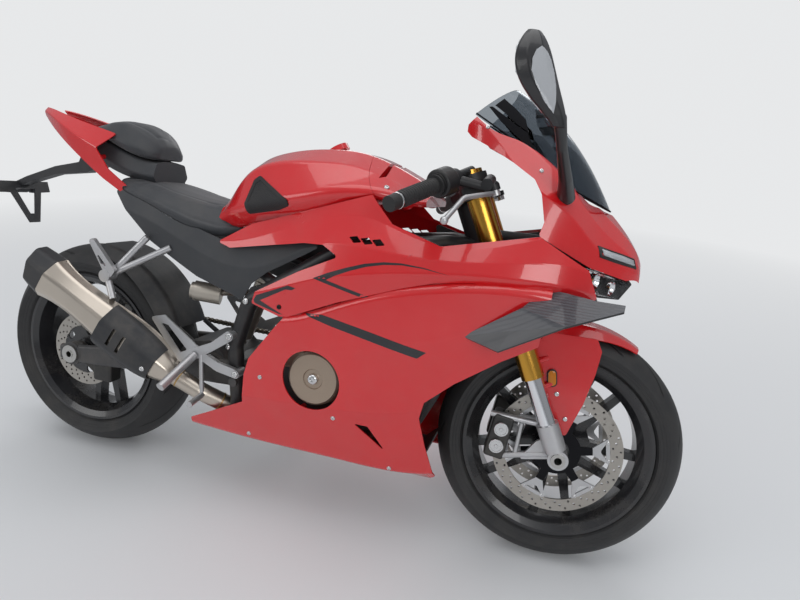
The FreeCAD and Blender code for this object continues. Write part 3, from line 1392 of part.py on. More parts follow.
def mirrors():
    """Mirror head on a stalk with a two-screw foot."""
    cowl = upper_cowl()
    stalk = taper([(1326, 150, 905, 19.0), (1320, 200, 940, 14.0), (1306, 270, 994, 10.0), (1296, 316, 1042, 12.0)])
    head_rows = (
        # x and z of the middle, half width and half depth
        (1298, 1026, 14, 10), (1276, 1066, 37, 20), (1252, 1112, 50, 24), (1240, 1154, 42, 20), (1232, 1186, 16, 9),
    )
    wires = []
    sin, cos = math.sin(math.radians(MIRROR_TURN)), math.cos(math.radians(MIRROR_TURN))
    for x, z, wide, deep in head_rows:
        shape = ((-deep, -wide), (-deep, wide), (deep * 0.3, wide * 0.9), (deep, wide * 0.3), (deep, -wide * 0.3),
                 (deep * 0.3, -wide * 0.9))
        corners = [(x + ahead * cos - out * sin, MIRROR_Y + ahead * sin + out * cos, z) for ahead, out in shape]
        wires.append(rounded(corners, 8.0))
    head = loft(wires)
    unit = stalk.fuse(head).cut(cowl)
    return both(biggest(unit))


def cockpit_panels():
    """Black inner panel beside each fork leg."""
    plate = side_prism([(980, 800), (1090, 768), (1280, 812), (1286, 790), (1240, 750), (1100, 735), (990, 760)],
                       168, 172, 8.0)
    plate = plate.cut(upper_panel()).cut(spar(0.5)).cut(rod(*COWL_POST, PANEL_HOLE + SEAM))
    return both(biggest(plate))


# Foot controls


@lru_cache(maxsize=None)
def rearset():
    """Forged foot peg bracket with heel plate, peg and pedal, on the right."""
    y0, y1 = 172.0, 184.0
    arms = side_prism([(548, 486), (568, 480), (560, 462), (505, 424), (470, 402), (400, 380), (396, 398), (452, 424),
                       (500, 446)], y0, y1, 7.0)
    lower = side_prism([(570, 388), (588, 380), (582, 362), (520, 372), (462, 398), (470, 420), (524, 396)], y0, y1, 7.0)
    heel = side_prism([(308, 484), (352, 496), (470, 418), (462, 396), (405, 372), (392, 380)], y0 + 1, y0 + 5, 6.0)
    window = side_prism([(338, 474), (364, 470), (424, 412), (404, 398)], y0 - 5, y1 + 5, 4.0)
    unit = arms.fuse(lower).fuse(heel.cut(window))
    for x, z in ((555, 473), (577, 375)):
        unit = unit.fuse(rod((x, 150, z), (x, y1 + 3, z), 11.0))
    unit = unit.fuse(rod((452, y1, 404), (440, 300, 350), 11.0))
    unit = unit.fuse(rod((470, y1 - 4, 408), (480, y1 + 2, 300), 6.0)).fuse(rod((480, 180, 300), (488, 250, 296), 8.0))
    return unit


def rearset_right():
    unit = mirrored(rearset())
    return biggest(unit.cut(frame_main()).cut(exhaust_pipes()).cut(silencer_guard()).cut(silencer()).cut(swingarm()))


def rearset_left():
    return biggest(rearset().cut(frame_main()).cut(swingarm()))


@lru_cache(maxsize=None)
def hangers():
    """Triangular passenger peg bracket with its folded peg, on the right."""
    y0, y1 = 168.0, 178.0
    tube_a = rod((264, 140, 690), (176, 176, 580), 9.0)
    tube_b = rod((340, 140, 672), (176, 176, 580), 9.0)
    knuckle = rod((172, 166, 578), (172, 196, 578), 17.0)
    unit = tube_a.fuse(tube_b).fuse(knuckle)
    loop = side_prism([(168, 590), (120, 668), (134, 676), (206, 596), (190, 574)], 182, 194, 7.0)
    window = side_prism([(160, 610), (142, 644), (184, 600)], 170, 200, 3.0)
    return unit.fuse(loop.cut(window))


def hanger_right():
    unit = mirrored(hangers())
    strap = rod((178, -186, 566), (206, -200, 520), 9.0)
    return biggest(unit.fuse(strap).cut(silencer()).cut(mirrored(side_cover_left())).cut(mirrored(subframe())))


def side_cover_left():
    return [s for s in side_covers().Solids if s.CenterOfMass.y > 0][0]


def hanger_left():
    return biggest(hangers().cut(side_cover_left()))


def passenger_hangers():
    return Part.makeCompound([hanger_right(), hanger_left()])



def silencer_covers():
    return Part.makeCompound([silencer_cap(), silencer_guard()])


def inner_panels():
    return Part.makeCompound([belly_pan()] + cockpit_panels().Solids)


def rearsets():
    return Part.makeCompound([rearset_right(), rearset_left()])


# Name of each piece, what carries it, and how it is made
PIECES = [
    ("frame_main", "root", frame_main),
    ("subframe", "root", subframe),
    ("engine_block", "root", engine_block),
    ("engine_covers", "root", engine_covers),
    ("radiator", "root", radiator),
    ("exhaust_pipes", "root", exhaust_pipes),
    ("silencer", "root", silencer),
    ("silencer_covers", "root", silencer_covers),
    ("swingarm", "root", swingarm),
    ("rear_axle", "root", rear_axle),
    ("rear_caliper", "root", rear_caliper),
    ("shock", "root", shock),
    ("rear_hugger", "root", rear_hugger),
    ("chain_drive", "root", chain_drive),
    ("fuel_tank", "root", fuel_tank),
    ("tank_front_cover", "root", tank_front_cover),
    ("tank_pads", "root", tank_pads),
    ("rider_seat", "root", rider_seat),
    ("pillion_seat", "root", pillion_seat),
    ("tail_centre", "root", tail_centre),
    ("tail_wings", "root", tail_wings),
    ("tail_light", "root", tail_light),
    ("side_covers", "root", side_covers),
    ("plate_bracket", "root", plate_bracket),
    ("rear_indicators", "root", rear_indicators),
    ("side_fairing_right", "root", lambda: mirrored(side_fairing())),
    ("side_fairing_left", "root", side_fairing),
    ("lower_fairing_right", "root", lower_right),
    ("lower_fairing_left", "root", lower_left),
    ("inner_panels", "root", inner_panels),
    ("upper_cowl", "root", upper_cowl),
    ("windscreen", "root", windscreen),
    ("headlights", "root", headlights),
    ("lamp_housing", "root", lamp_housing),
    ("front_stay", "root", front_stay),
    ("instrument", "root", instrument),
    ("winglets", "root", winglets),
    ("mirrors", "root", mirrors),
    ("rearsets", "root", rearsets),
    ("passenger_hangers", "root", passenger_hangers),
    ("side_stand", "side_stand", side_stand),
    ("triple_clamps", "steering", triple_clamps),
    ("fork_tubes", "steering", fork_tubes),
    ("fork_sliders", "steering", fork_sliders),
    ("fork_feet", "steering", fork_feet),
    ("handlebars", "steering", handlebars),
    ("grips", "steering", grips),
    ("bar_controls", "steering", bar_controls),
    ("levers", "steering", levers),
    ("front_fender", "steering", fender_in_place),
    ("front_calipers", "steering", front_calipers),
    ("front_axle", "steering", front_axle),
    ("front_tyre", "front_wheel", front_tyre),
    ("front_rim", "front_wheel", front_rim),
    ("front_discs", "front_wheel", front_discs),
    ("disc_carriers", "front_wheel", disc_carriers),
    ("rear_tyre", "rear_wheel", rear_tyre),
    ("rear_rim", "rear_wheel", rear_rim),
    ("rear_disc", "rear_wheel", rear_disc),
    ("rear_sprocket", "rear_wheel", rear_sprocket),
]


def turned_about_stem(shape):
    """The front wheel, turned with the steering."""
    moved = shape.copy()
    foot = Vector(STEER_GROUND, 0, 0)
    moved.rotate(foot, Vector(-RAKE_SIN, 0, RAKE_COS), STEER_REST)
    return moved


def tyre_low(centre, axle, radius, half, shoulder):
    """Height of the lowest point of a tyre whose crown is an arc."""
    drop = radius - shoulder
    crown = (half * half + drop * drop) / (2.0 * drop)
    return centre.z - (radius - crown) * math.sqrt(1.0 - axle.z ** 2) - crown


def parked(pitch):
    """Rotation that pitches the machine and leans it onto its stand."""
    nose = FreeCAD.Rotation(Vector(0, 1, 0), pitch)
    side = FreeCAD.Rotation(Vector(1, 0, 0), -LEAN)
    return side.multiply(nose)


def ground_gap(pitch):
    """Lowest points of the front and the rear tyre in a parked pose."""
    pose = parked(pitch)
    stem = FreeCAD.Rotation(Vector(-RAKE_SIN, 0, RAKE_COS), STEER_REST)
    foot = Vector(STEER_GROUND, 0, 0)
    front = foot + stem.multVec(Vector(*FRONT_CENTRE) - foot)
    front_axle_line = stem.multVec(Vector(0, 1, 0))
    low_front = tyre_low(pose.multVec(front), pose.multVec(front_axle_line), FRONT_RADIUS, FRONT_HALF, FRONT_SHOULDER)
    low_rear = tyre_low(pose.multVec(Vector(*REAR_CENTRE)), pose.multVec(Vector(0, 1, 0)), REAR_RADIUS, REAR_HALF,
                        REAR_SHOULDER)
    return low_front, low_rear


def level_pitch():
    """Pitch at which both tyres stand on one level ground."""
    pitch = 0.0
    for _ in range(8):
        front, rear = ground_gap(pitch)
        pitch += math.degrees((front - rear) / WHEELBASE)
    return pitch


def main():
    os.makedirs("parts", exist_ok=True)
    pitch = level_pitch()
    pose = parked(pitch)
    height = -ground_gap(pitch)[1]
    placed = []
    for name, body, make in PIECES:
        shape = make().copy()
        if body == "front_wheel":
            shape = turned_about_stem(shape)
        shape.rotate(Vector(0, 0, 0), pose.Axis, math.degrees(pose.Angle))
        shape.translate(Vector(0, 0, height))
        placed.append((name, shape))
    bounds = FreeCAD.BoundBox()
    for name, shape in placed:
        bounds.add(shape.optimalBoundingBox(True, False))
    shift = Vector(-bounds.Center.x, -bounds.Center.y, 0)
    print("pitch %.4f height %.3f shift %.3f %.3f low %.3f" % (pitch, height, shift.x, shift.y, bounds.ZMin))
    for name, shape in placed:
        shape.translate(shift)
        shape.exportStep("parts/%s.step" % name)


main()
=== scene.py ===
# %% [markdown]
# # A sport motorcycle on its side stand
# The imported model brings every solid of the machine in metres. This lesson dresses it: it gives each
# surface the finish of the real one and adds what is too fine for the solids, such as drilled brake
# rings, chain links, screws, stripes and lamp insides.

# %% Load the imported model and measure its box
import json
import math
import bpy
import bmesh
from mathutils import Matrix, Vector
from mathutils.bvhtree import BVHTree

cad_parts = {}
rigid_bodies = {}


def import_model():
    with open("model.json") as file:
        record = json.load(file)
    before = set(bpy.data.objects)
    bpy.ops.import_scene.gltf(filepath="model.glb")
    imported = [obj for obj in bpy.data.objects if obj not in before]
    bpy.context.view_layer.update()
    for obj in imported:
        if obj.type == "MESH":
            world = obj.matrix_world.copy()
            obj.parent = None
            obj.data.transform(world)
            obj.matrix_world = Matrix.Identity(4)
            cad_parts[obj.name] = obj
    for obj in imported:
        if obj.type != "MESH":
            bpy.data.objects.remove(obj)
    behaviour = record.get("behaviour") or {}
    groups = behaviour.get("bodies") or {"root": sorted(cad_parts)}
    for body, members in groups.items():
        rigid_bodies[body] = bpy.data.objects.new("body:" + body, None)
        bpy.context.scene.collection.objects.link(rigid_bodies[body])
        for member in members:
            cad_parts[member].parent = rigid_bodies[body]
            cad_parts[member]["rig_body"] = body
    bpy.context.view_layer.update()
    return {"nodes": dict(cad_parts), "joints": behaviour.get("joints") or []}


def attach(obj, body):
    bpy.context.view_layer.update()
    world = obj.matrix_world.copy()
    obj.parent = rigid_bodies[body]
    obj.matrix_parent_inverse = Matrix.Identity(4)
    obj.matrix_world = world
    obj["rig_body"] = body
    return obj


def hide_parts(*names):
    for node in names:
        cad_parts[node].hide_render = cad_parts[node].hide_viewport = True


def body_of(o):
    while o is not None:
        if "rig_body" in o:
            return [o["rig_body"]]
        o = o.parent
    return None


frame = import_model()

# %% [markdown]
# The parked machine leans and its steering is turned, but it is far easier to place details in an
# upright drawing: x forward of the rear axle, y to the rider's left, z up from the ground, in
# millimetres. The joints tell where the rear axle and the steering stem are, and those two lines are
# enough to build the matrix from the drawing to the parked machine. A second matrix adds the turn of
# the steering.

# %% Matrices from the upright drawing to the parked machine
RAKE = math.radians(24.5)
REAR_AXLE_HEIGHT = 314.0
FRONT_AXLE_HEIGHT = 300.0
WHEELBASE = 1390.0
STEER_TURN = math.radians(5.0)

joints = {joint["name"]: joint for joint in frame["joints"]}
rear_axle = joints["rear_wheel_spin"]
stem = joints["steering_turn"]
across = Vector(rear_axle["axis"]).normalized()
stem_up = Vector(stem["axis"]).normalized()
level_ahead = across.cross(stem_up)
forward = level_ahead * math.cos(RAKE) - stem_up * math.sin(RAKE)
upward = level_ahead * math.sin(RAKE) + stem_up * math.cos(RAKE)
start = Vector(rear_axle["pos_m"]) - upward * REAR_AXLE_HEIGHT / 1000
rows = [[forward[i] / 1000, across[i] / 1000, upward[i] / 1000, start[i]] for i in range(3)]
MACHINE = Matrix(rows + [[0, 0, 0, 1]])
stem_point = Matrix.Translation(Vector(stem["pos_m"]))
STEERED = stem_point @ Matrix.Rotation(STEER_TURN, 4, stem_up) @ stem_point.inverted() @ MACHINE
print("rear axle", [round(c, 3) for c in MACHINE @ Vector((0, 0, REAR_AXLE_HEIGHT))],
      "front axle", [round(c, 3) for c in STEERED @ Vector((WHEELBASE, 0, FRONT_AXLE_HEIGHT))])

# %% [markdown]
# The photograph was taken from the machine's right, a little ahead of it and from eye height. Its
# camera was worked out from the two wheels and the paving, so the same lens and place give the same
# view. Light comes from large soft panels, because glossy paint shows mostly what it reflects.

# %% Camera and lights
CAMERA_FROM_REAR_AXLE = Vector((1.33780, -1.31865, 0.77480))
YAW, PITCH, ROLL = -0.281, -0.336, 0.062
FOCAL_PIXELS, PHOTO_WIDTH = 565.76, 800

scene = bpy.context.scene
scene.view_settings.view_transform = "Standard"
ahead = Vector((math.sin(YAW) * math.cos(PITCH), math.cos(YAW) * math.cos(PITCH), math.sin(PITCH)))
right = ahead.cross(Vector((0, 0, 1))).normalized()
top = right.cross(ahead)
x_axis = right * math.cos(ROLL) + top * math.sin(ROLL)
y_axis = top * math.cos(ROLL) - right * math.sin(ROLL)
camera_data = bpy.data.cameras.new("camera")
camera_data.sensor_width = 36.0
camera_data.lens = 36.0 * FOCAL_PIXELS / PHOTO_WIDTH
camera = bpy.data.objects.new("camera", camera_data)
place = Vector(rear_axle["pos_m"]) + CAMERA_FROM_REAR_AXLE
rows = [[x_axis[i], y_axis[i], -ahead[i], place[i]] for i in range(3)]
camera.matrix_world = Matrix(rows + [[0, 0, 0, 1]])
scene.collection.objects.link(camera)
scene.camera = camera


def soft_panel(name, position, target, size, power):
    """Large area lamp that looks at a point of the machine."""
    data = bpy.data.lights.new(name, "AREA")
    data.shape = "RECTANGLE"
    data.size, data.size_y = size
    data.energy = power
    lamp = bpy.data.objects.new(name, data)
    lamp.location = position
    lamp.rotation_euler = (Vector(target) - Vector(position)).to_track_quat("-Z", "Y").to_euler()
    scene.collection.objects.link(lamp)
    return lamp


PANELS = (
    # name, place, target, width and height, watts
    ("overhead_panel", (0.2, -0.3, 4.2), (0, 0, 0.4), (5.0, 3.2), 62),
    ("front_side_panel", (2.6, -3.6, 2.2), (0.2, 0, 0.6), (2.4, 1.6), 42),
    ("rear_side_panel", (-3.0, -2.6, 1.9), (-0.2, 0, 0.6), (2.0, 1.6), 20),
    ("far_side_panel", (0.0, 3.8, 2.4), (0, 0, 0.6), (3.4, 1.4), 30),
)
for panel in PANELS:
    soft_panel(*panel)
print("lens", round(camera_data.lens, 2), "camera", [round(c, 3) for c in place])

# %% [markdown]
# Every material here is a tree of nodes. One helper adds a node with its settings and inputs in a
# single line; a few more stand on it for sums, ranges, colour mixes and noise. They keep the recipes
# short enough to read.

# %% Node helpers
def add(tree, kind, inputs=None, **settings):
    """New node with its settings; an input takes a value or another node's socket."""
    made = tree.nodes.new(kind)
    for name, value in settings.items():
        setattr(made, name, value)
    for name, value in (inputs or {}).items():
        socket = made.inputs[name]
        if isinstance(value, bpy.types.NodeSocket):
            tree.links.new(value, socket)
        else:
            socket.default_value = value
    return made


def calc(tree, operation, *values, clamp=False):
    """Result of a math node over numbers and sockets."""
    made = add(tree, "ShaderNodeMath", dict(enumerate(values)), operation=operation, use_clamp=clamp)
    return made.outputs[0]


def vector_calc(tree, operation, *values, scale=None):
    """Result of a vector math node: a number for a length or a dot product, else a vector."""
    inputs = dict(enumerate(values))
    if scale is not None:
        inputs["Scale"] = scale
    made = add(tree, "ShaderNodeVectorMath", inputs, operation=operation)
    return made.outputs["Value" if operation in ("LENGTH", "DOT_PRODUCT") else 0]


def remap(tree, value, low, high, to_low=0.0, to_high=1.0):
    """Value carried from one range to another and held inside it."""
    limits = {"From Min": low, "From Max": high, "To Min": to_low, "To Max": to_high}
    return add(tree, "ShaderNodeMapRange", {"Value": value, **limits}).outputs[0]


def tint(tree, share, first, second):
    """Mix of two colours."""
    return add(tree, "ShaderNodeMix", {"Factor": share, 6: first, 7: second}, data_type="RGBA").outputs[2]


def noise(tree, where, scale, detail, rough=0.5):
    """Value of a noise texture."""
    return add(tree, "ShaderNodeTexNoise", {"Vector": where, "Scale": scale, "Detail": detail,
                                            "Roughness": rough}).outputs["Fac"]


def position(tree):
    """Place of the shaded point in metres, as the object has it."""
    return add(tree, "ShaderNodeTexCoord").outputs["Object"]


def height_of(tree, vector):
    """The vector's part along z."""
    return add(tree, "ShaderNodeSeparateXYZ", {"Vector": vector}).outputs["Z"]


def emptied_tree(owner):
    """Node tree of a world or material with nothing in it."""
    owner.use_nodes = True
    owner.node_tree.nodes.clear()
    return owner.node_tree


print("node helpers ready")

# %% [markdown]
# The world gives a soft even light that is brighter from above; the camera sees it as a plain pale
# backdrop. The floor is matt and fades into that backdrop away from the machine.

# %% Studio surroundings
BACKDROP = (0.80, 0.81, 0.82, 1.0)
SKY_TINT = (0.92, 0.95, 1.0, 1)
SKY_LOW, SKY_HIGH = 0.22, 0.55
FLOOR_TINT = (0.74, 0.75, 0.76, 1)
FLOOR_RADIUS, FLOOR_CORNERS = 30.0, 64
FADE_START, FADE_END = 1.4, 5.0

world = bpy.data.worlds.new("studio")
scene.world = world
tree = emptied_tree(world)
rays = add(tree, "ShaderNodeLightPath")
level = height_of(tree, add(tree, "ShaderNodeTexCoord").outputs["Generated"])
seen = calc(tree, "MAXIMUM", rays.outputs["Is Camera Ray"], rays.outputs["Is Transmission Ray"])
strength = remap(tree, level, -0.1, 0.9, SKY_LOW, SKY_HIGH)
soft = add(tree, "ShaderNodeBackground", {"Color": SKY_TINT, "Strength": strength})
plain = add(tree, "ShaderNodeBackground", {"Color": BACKDROP, "Strength": 1.0})
mixed = add(tree, "ShaderNodeMixShader", {0: seen, 1: soft.outputs[0], 2: plain.outputs[0]})
add(tree, "ShaderNodeOutputWorld", {"Surface": mixed.outputs[0]})

floor_mesh = bpy.data.meshes.new("floor")
angles = [math.tau * i / FLOOR_CORNERS for i in range(FLOOR_CORNERS)]
floor_mesh.from_pydata([(FLOOR_RADIUS * math.cos(a), FLOOR_RADIUS * math.sin(a), 0) for a in angles], [],
                       [list(range(FLOOR_CORNERS))])
floor = bpy.data.objects.new("floor", floor_mesh)
scene.collection.objects.link(floor)
floor_finish = bpy.data.materials.new("studio_floor")
tree = emptied_tree(floor_finish)
fade = remap(tree, vector_calc(tree, "LENGTH", position(tree)), FADE_START, FADE_END)
matt = add(tree, "ShaderNodeBsdfDiffuse", {"Color": FLOOR_TINT})
glow = add(tree, "ShaderNodeEmission", {"Color": BACKDROP, "Strength": 1.0})
blend = add(tree, "ShaderNodeMixShader", {0: fade, 1: matt.outputs[0], 2: glow.outputs[0]})
seen = add(tree, "ShaderNodeLightPath").outputs["Is Camera Ray"]
shown = add(tree, "ShaderNodeMixShader", {0: seen, 1: matt.outputs[0], 2: blend.outputs[0]})
add(tree, "ShaderNodeOutputMaterial", {"Surface": shown.outputs[0]})
floor_mesh.materials.append(floor_finish)
print("studio ready")

# %% [markdown]
# Effects that many finishes share become shader groups. Each group gives out only a colour, a mask or
# a value: fine grain for moulded and cast surfaces, dust that settles on upward faces and near the
# ground, brushed streaks, and parallel ribs. The shader itself stays in each material, where its plain
# numbers are set.

# %% Shared shader groups
FLOAT, COLOUR, VECTOR = "NodeSocketFloat", "NodeSocketColor", "NodeSocketVector"
DUST_TINT = (0.32, 0.28, 0.23, 1)


def new_group(name, inputs, outputs):
    """Empty group with named sockets; returns its tree, its input node's outputs and its output node."""
    group = bpy.data.node_groups.new(name, "ShaderNodeTree")
    for socket, kind, value in inputs:
        made = group.interface.new_socket(socket, in_out="INPUT", socket_type=kind)
        made.default_value = value
    for socket, kind in outputs:
        group.interface.new_socket(socket, in_out="OUTPUT", socket_type=kind)
    return group, group.nodes.new("NodeGroupInput").outputs, group.nodes.new("NodeGroupOutput")


def give(group, out, results):
    """Joins the results to the group's output node."""
    for name, socket in results.items():
        group.links.new(socket, out.inputs[name])


def group_node(tree, group, inputs=None):
    """Node that stands for a shared group."""
    return add(tree, "ShaderNodeGroup", inputs, node_tree=group)


grain_group, given, out = new_group("fine_grain", [("Grain mm", FLOAT, 1.0)],
                                    [("Height", FLOAT), ("Tone", FLOAT)])
where = position(grain_group)
fine = noise(grain_group, where, calc(grain_group, "DIVIDE", 1000.0, given["Grain mm"]), 3.0)
give(grain_group, out, {"Height": fine, "Tone": noise(grain_group, where, 9.0, 2.0)})

dust_group, given, out = new_group("settled_dust", [("Colour", COLOUR, (1, 1, 1, 1)), ("Amount", FLOAT, 0.2)],
                                   [("Colour", COLOUR), ("Mask", FLOAT)])
where = position(dust_group)
facing = add(dust_group, "ShaderNodeNewGeometry").outputs["Normal"]
lying = remap(dust_group, height_of(dust_group, facing), -0.2, 1.0, 0.25)
low = remap(dust_group, height_of(dust_group, where), 0.0, 0.7, 1.0, 0.35)
patch = remap(dust_group, noise(dust_group, where, 14.0, 6.0, 0.65), 0.42, 0.72)
settled = calc(dust_group, "MULTIPLY", calc(dust_group, "MULTIPLY", lying, low), patch)
mask = calc(dust_group, "MULTIPLY", settled, given["Amount"], clamp=True)
give(dust_group, out, {"Colour": tint(dust_group, mask, given["Colour"], DUST_TINT), "Mask": mask})

brush_group, given, out = new_group("brushed_streaks",
                                    [("Along", VECTOR, (1, 0, 0)), ("Fineness", FLOAT, 900.0)],
                                    [("Height", FLOAT)])
where = position(brush_group)
share = vector_calc(brush_group, "DOT_PRODUCT", where, given["Along"])
along = vector_calc(brush_group, "SCALE", given["Along"], scale=share)
flat = vector_calc(brush_group, "ADD", where, vector_calc(brush_group, "SCALE", along, scale=-0.97))
give(brush_group, out, {"Height": noise(brush_group, flat, given["Fineness"], 2.0)})

rib_group, given, out = new_group("parallel_ribs", [("Across", VECTOR, (0, 0, 1)), ("Pitch mm", FLOAT, 4.0)],
                                  [("Height", FLOAT)])
share = vector_calc(rib_group, "DOT_PRODUCT", position(rib_group), given["Across"])
turns = calc(rib_group, "DIVIDE", 1000.0 * math.tau, given["Pitch mm"])
wave = calc(rib_group, "SINE", calc(rib_group, "MULTIPLY", share, turns))
give(rib_group, out, {"Height": remap(rib_group, wave, -0.6, 0.6)})
print("groups", [group.name for group in bpy.data.node_groups])

# %% [markdown]
# A finish is one Principled shader with a base colour that varies a little, some dust, and a bump from
# grain, streaks or ribs. Writing that recipe once as a function lets a short table hold every plain
# finish of the machine.

# %% Recipe for a plain finish
finishes = {}


def new_finish(name, settings):
    """Material with its Principled shader set; returns its tree and the shader."""
    made = bpy.data.materials.new(name)
    made.use_nodes = True
    shader = made.node_tree.nodes["Principled BSDF"]
    for socket, value in settings.items():
        shader.inputs[socket].default_value = value
    finishes[name] = made
    return made.node_tree, shader


def skin(tree, shader, tone, dust, rough, dusty_rough, bump):
    """Joins the dusted colour, the roughness that dust raises, and a bump to the shader."""
    settled = group_node(tree, dust_group, {"Colour": tone, "Amount": dust})
    tree.links.new(settled.outputs["Colour"], shader.inputs["Base Color"])
    roughness = remap(tree, settled.outputs["Mask"], 0.0, 1.0, rough, dusty_rough)
    tree.links.new(roughness, shader.inputs["Roughness"])
    tree.links.new(add(tree, "ShaderNodeBump", bump).outputs["Normal"], shader.inputs["Normal"])


def recolour(tree, shader, mask, colour):
    """Another base colour where the mask is 1."""
    base = shader.inputs["Base Color"].links[0].from_socket
    tree.links.new(tint(tree, mask, base, colour), shader.inputs["Base Color"])


COAT_ROUGH, DUST_ROUGH, GLASS_DUST_ROUGH = 0.04, 0.35, 0.3


def finish(name, colour, rough, metal=0.0, coat=0.0, grain=0.8, depth=0.05, dust=0.3, vary=0.08, brushed=None,
           ribs=None, rib_depth=0.6, sheen=0.0, specular=0.5):
    """Principled material: colour, roughness and the shared effects with their own values.

    The grain's size and the depths are in millimetres; ribs are a direction across them and a pitch."""
    tree, shader = new_finish(name, {"Metallic": metal, "Coat Weight": coat, "Coat Roughness": COAT_ROUGH,
                                     "Sheen Weight": sheen, "Specular IOR Level": specular})
    texture = group_node(tree, grain_group, {"Grain mm": grain})
    dark, light = [tuple(min(1, c * share) for c in colour) + (1,) for share in (1 - vary, 1 + vary)]
    height, distance = texture.outputs["Height"], depth / 1000
    if brushed:
        height = group_node(tree, brush_group, {"Along": brushed}).outputs["Height"]
    if ribs:
        lines = group_node(tree, rib_group, {"Across": ribs[0], "Pitch mm": ribs[1]})
        height, distance = lines.outputs["Height"], rib_depth / 1000
    skin(tree, shader, tint(tree, texture.outputs["Tone"], dark, light), dust, rough,
         min(1, rough + DUST_ROUGH), {"Height": height, "Distance": distance, "Strength": 1.0})
    return tree, shader


def direction(x, y, z, steered=False):
    """Unit direction of the drawing as it points on the parked machine."""
    turned = (STEERED if steered else MACHINE).to_3x3() @ Vector((x, y, z))
    return tuple(turned.normalized())


SILENCER_LINE = direction(-392, -48, 240)
FORK_LINE = tuple(stem_up)
print("recipe ready")

# %% [markdown]
# The panels are sprayed in a deep gloss red under clear lacquer. Matt black plastic has a moulded
# grain, the frame is powder coated, the cast parts are silver with a sandy skin, and the fork tubes are
# gold anodised above hard chrome.

# %% Plain finishes
finish("red_paint", (0.66, 0.005, 0.009), 0.26, coat=1.0, grain=3.0, depth=0.006, dust=0.16, vary=0.04)
finish("matte_black", (0.022, 0.023, 0.026), 0.52, grain=0.7, depth=0.06, dust=0.35, vary=0.15)
finish("seat_tray", (0.040, 0.043, 0.048), 0.55, grain=0.9, depth=0.07, dust=0.25, vary=0.12)
finish("frame_black", (0.016, 0.016, 0.018), 0.38, grain=1.2, dust=0.35, vary=0.15)
finish("swingarm_grey", (0.045, 0.045, 0.048), 0.42, grain=1.0, dust=0.5, vary=0.12)
finish("engine_metal", (0.060, 0.060, 0.064), 0.50, metal=0.5, grain=1.4, depth=0.14, dust=0.5, vary=0.15)
finish("bronze_cover", (0.40, 0.315, 0.245), 0.36, metal=0.75, grain=1.0, dust=0.35, vary=0.06)
finish("cast_silver", (0.56, 0.56, 0.57), 0.38, metal=0.85, grain=1.0, depth=0.06, dust=0.5)
finish("caliper_dark", (0.050, 0.049, 0.048), 0.40, metal=0.6, grain=1.0, depth=0.06, dust=0.4, vary=0.12)
finish("axle_steel", (0.50, 0.49, 0.47), 0.30, metal=1.0, grain=0.6, depth=0.02)
finish("fork_gold", (0.62, 0.33, 0.055), 0.24, metal=1.0, brushed=FORK_LINE, depth=0.02, dust=0.15)
finish("fork_chrome", (0.80, 0.81, 0.83), 0.08, metal=1.0, grain=0.5, depth=0.002, dust=0.1, vary=0.03)
finish("exhaust_steel", (0.56, 0.50, 0.43), 0.30, metal=1.0, brushed=SILENCER_LINE, depth=0.03, dust=0.2,
       vary=0.07)
finish("seat_vinyl", (0.028, 0.031, 0.036), 0.50, grain=0.9, depth=0.09, dust=0.2, vary=0.1, sheen=0.15)
finish("grip_rubber", (0.018, 0.018, 0.019), 0.62, grain=0.6, dust=0.15)
finish("rim_black", (0.012, 0.012, 0.014), 0.26, coat=0.4, grain=2.0, depth=0.01, dust=0.15)
finish("disc_steel", (0.42, 0.395, 0.36), 0.34, metal=1.0, grain=0.5, depth=0.02, vary=0.1)
finish("chain_steel", (0.20, 0.17, 0.13), 0.40, metal=0.9, grain=0.6, depth=0.03, dust=0.5, vary=0.2)
finish("shock_metal", (0.50, 0.46, 0.40), 0.40, metal=0.8, grain=1.0, dust=0.5)
finish("radiator_black", (0.020, 0.020, 0.021), 0.6, ribs=(direction(0.33, 0, 0.94), 3.0), rib_depth=0.9,
       dust=0.5)
finish("pad_rubber", (0.016, 0.016, 0.018), 0.62, ribs=(direction(0.45, 0, 0.89), 4.2), rib_depth=0.7,
       dust=0.2)
finish("mirror_black", (0.014, 0.014, 0.016), 0.30, coat=0.3, depth=0.02, dust=0.15)
finish("stripe_black", (0.018, 0.019, 0.023), 0.34, coat=0.25, grain=2.0, depth=0.006, dust=0.1)
finish("band_black", (0.006, 0.006, 0.008), 0.60, depth=0.01, dust=0.05, specular=0.08)
finish("plain_black", (0.010, 0.010, 0.011), 0.45, depth=0.03, dust=0.2)
finish("bolt_silver", (0.66, 0.66, 0.66), 0.24, metal=1.0, grain=0.5, depth=0.01, dust=0.1)
finish("bolt_black", (0.02, 0.02, 0.02), 0.35, metal=0.6, grain=0.5, depth=0.01, dust=0.2)
finish("weld_gold", (0.50, 0.32, 0.12), 0.34, metal=1.0, grain=0.5, depth=0.08, dust=0.1)
finish("red_anodised", (0.42, 0.012, 0.02), 0.25, metal=1.0, grain=0.5, depth=0.01, dust=0.1)
print("finishes", len(finishes))

# %% [markdown]
# Tyres are plain bodies of revolution in the solids. Their tread grooves are drawn in the material: the
# shader works out, for each point, its angle round the wheel and its distance from the middle of the
# tread, and presses slanted grooves in with a bump. The grooves are also coloured darker than the rubber:
# that is painted shade, standing in for the shade inside a real groove. The same two numbers give the
# rings moulded into the side walls.

# %% Wheel coordinates group and tyre material
WALL_RING_PITCH, GROOVE_SLANT, GROOVE_DEPTH, WALL_RING_SHARE = 7.0, 1.35, 0.003, 0.16
# Colour of the painted shade inside the tread grooves; the rubber there is the same, only shaded.
GROOVE_PAINTED_SHADE = (0.004, 0.004, 0.004, 1)

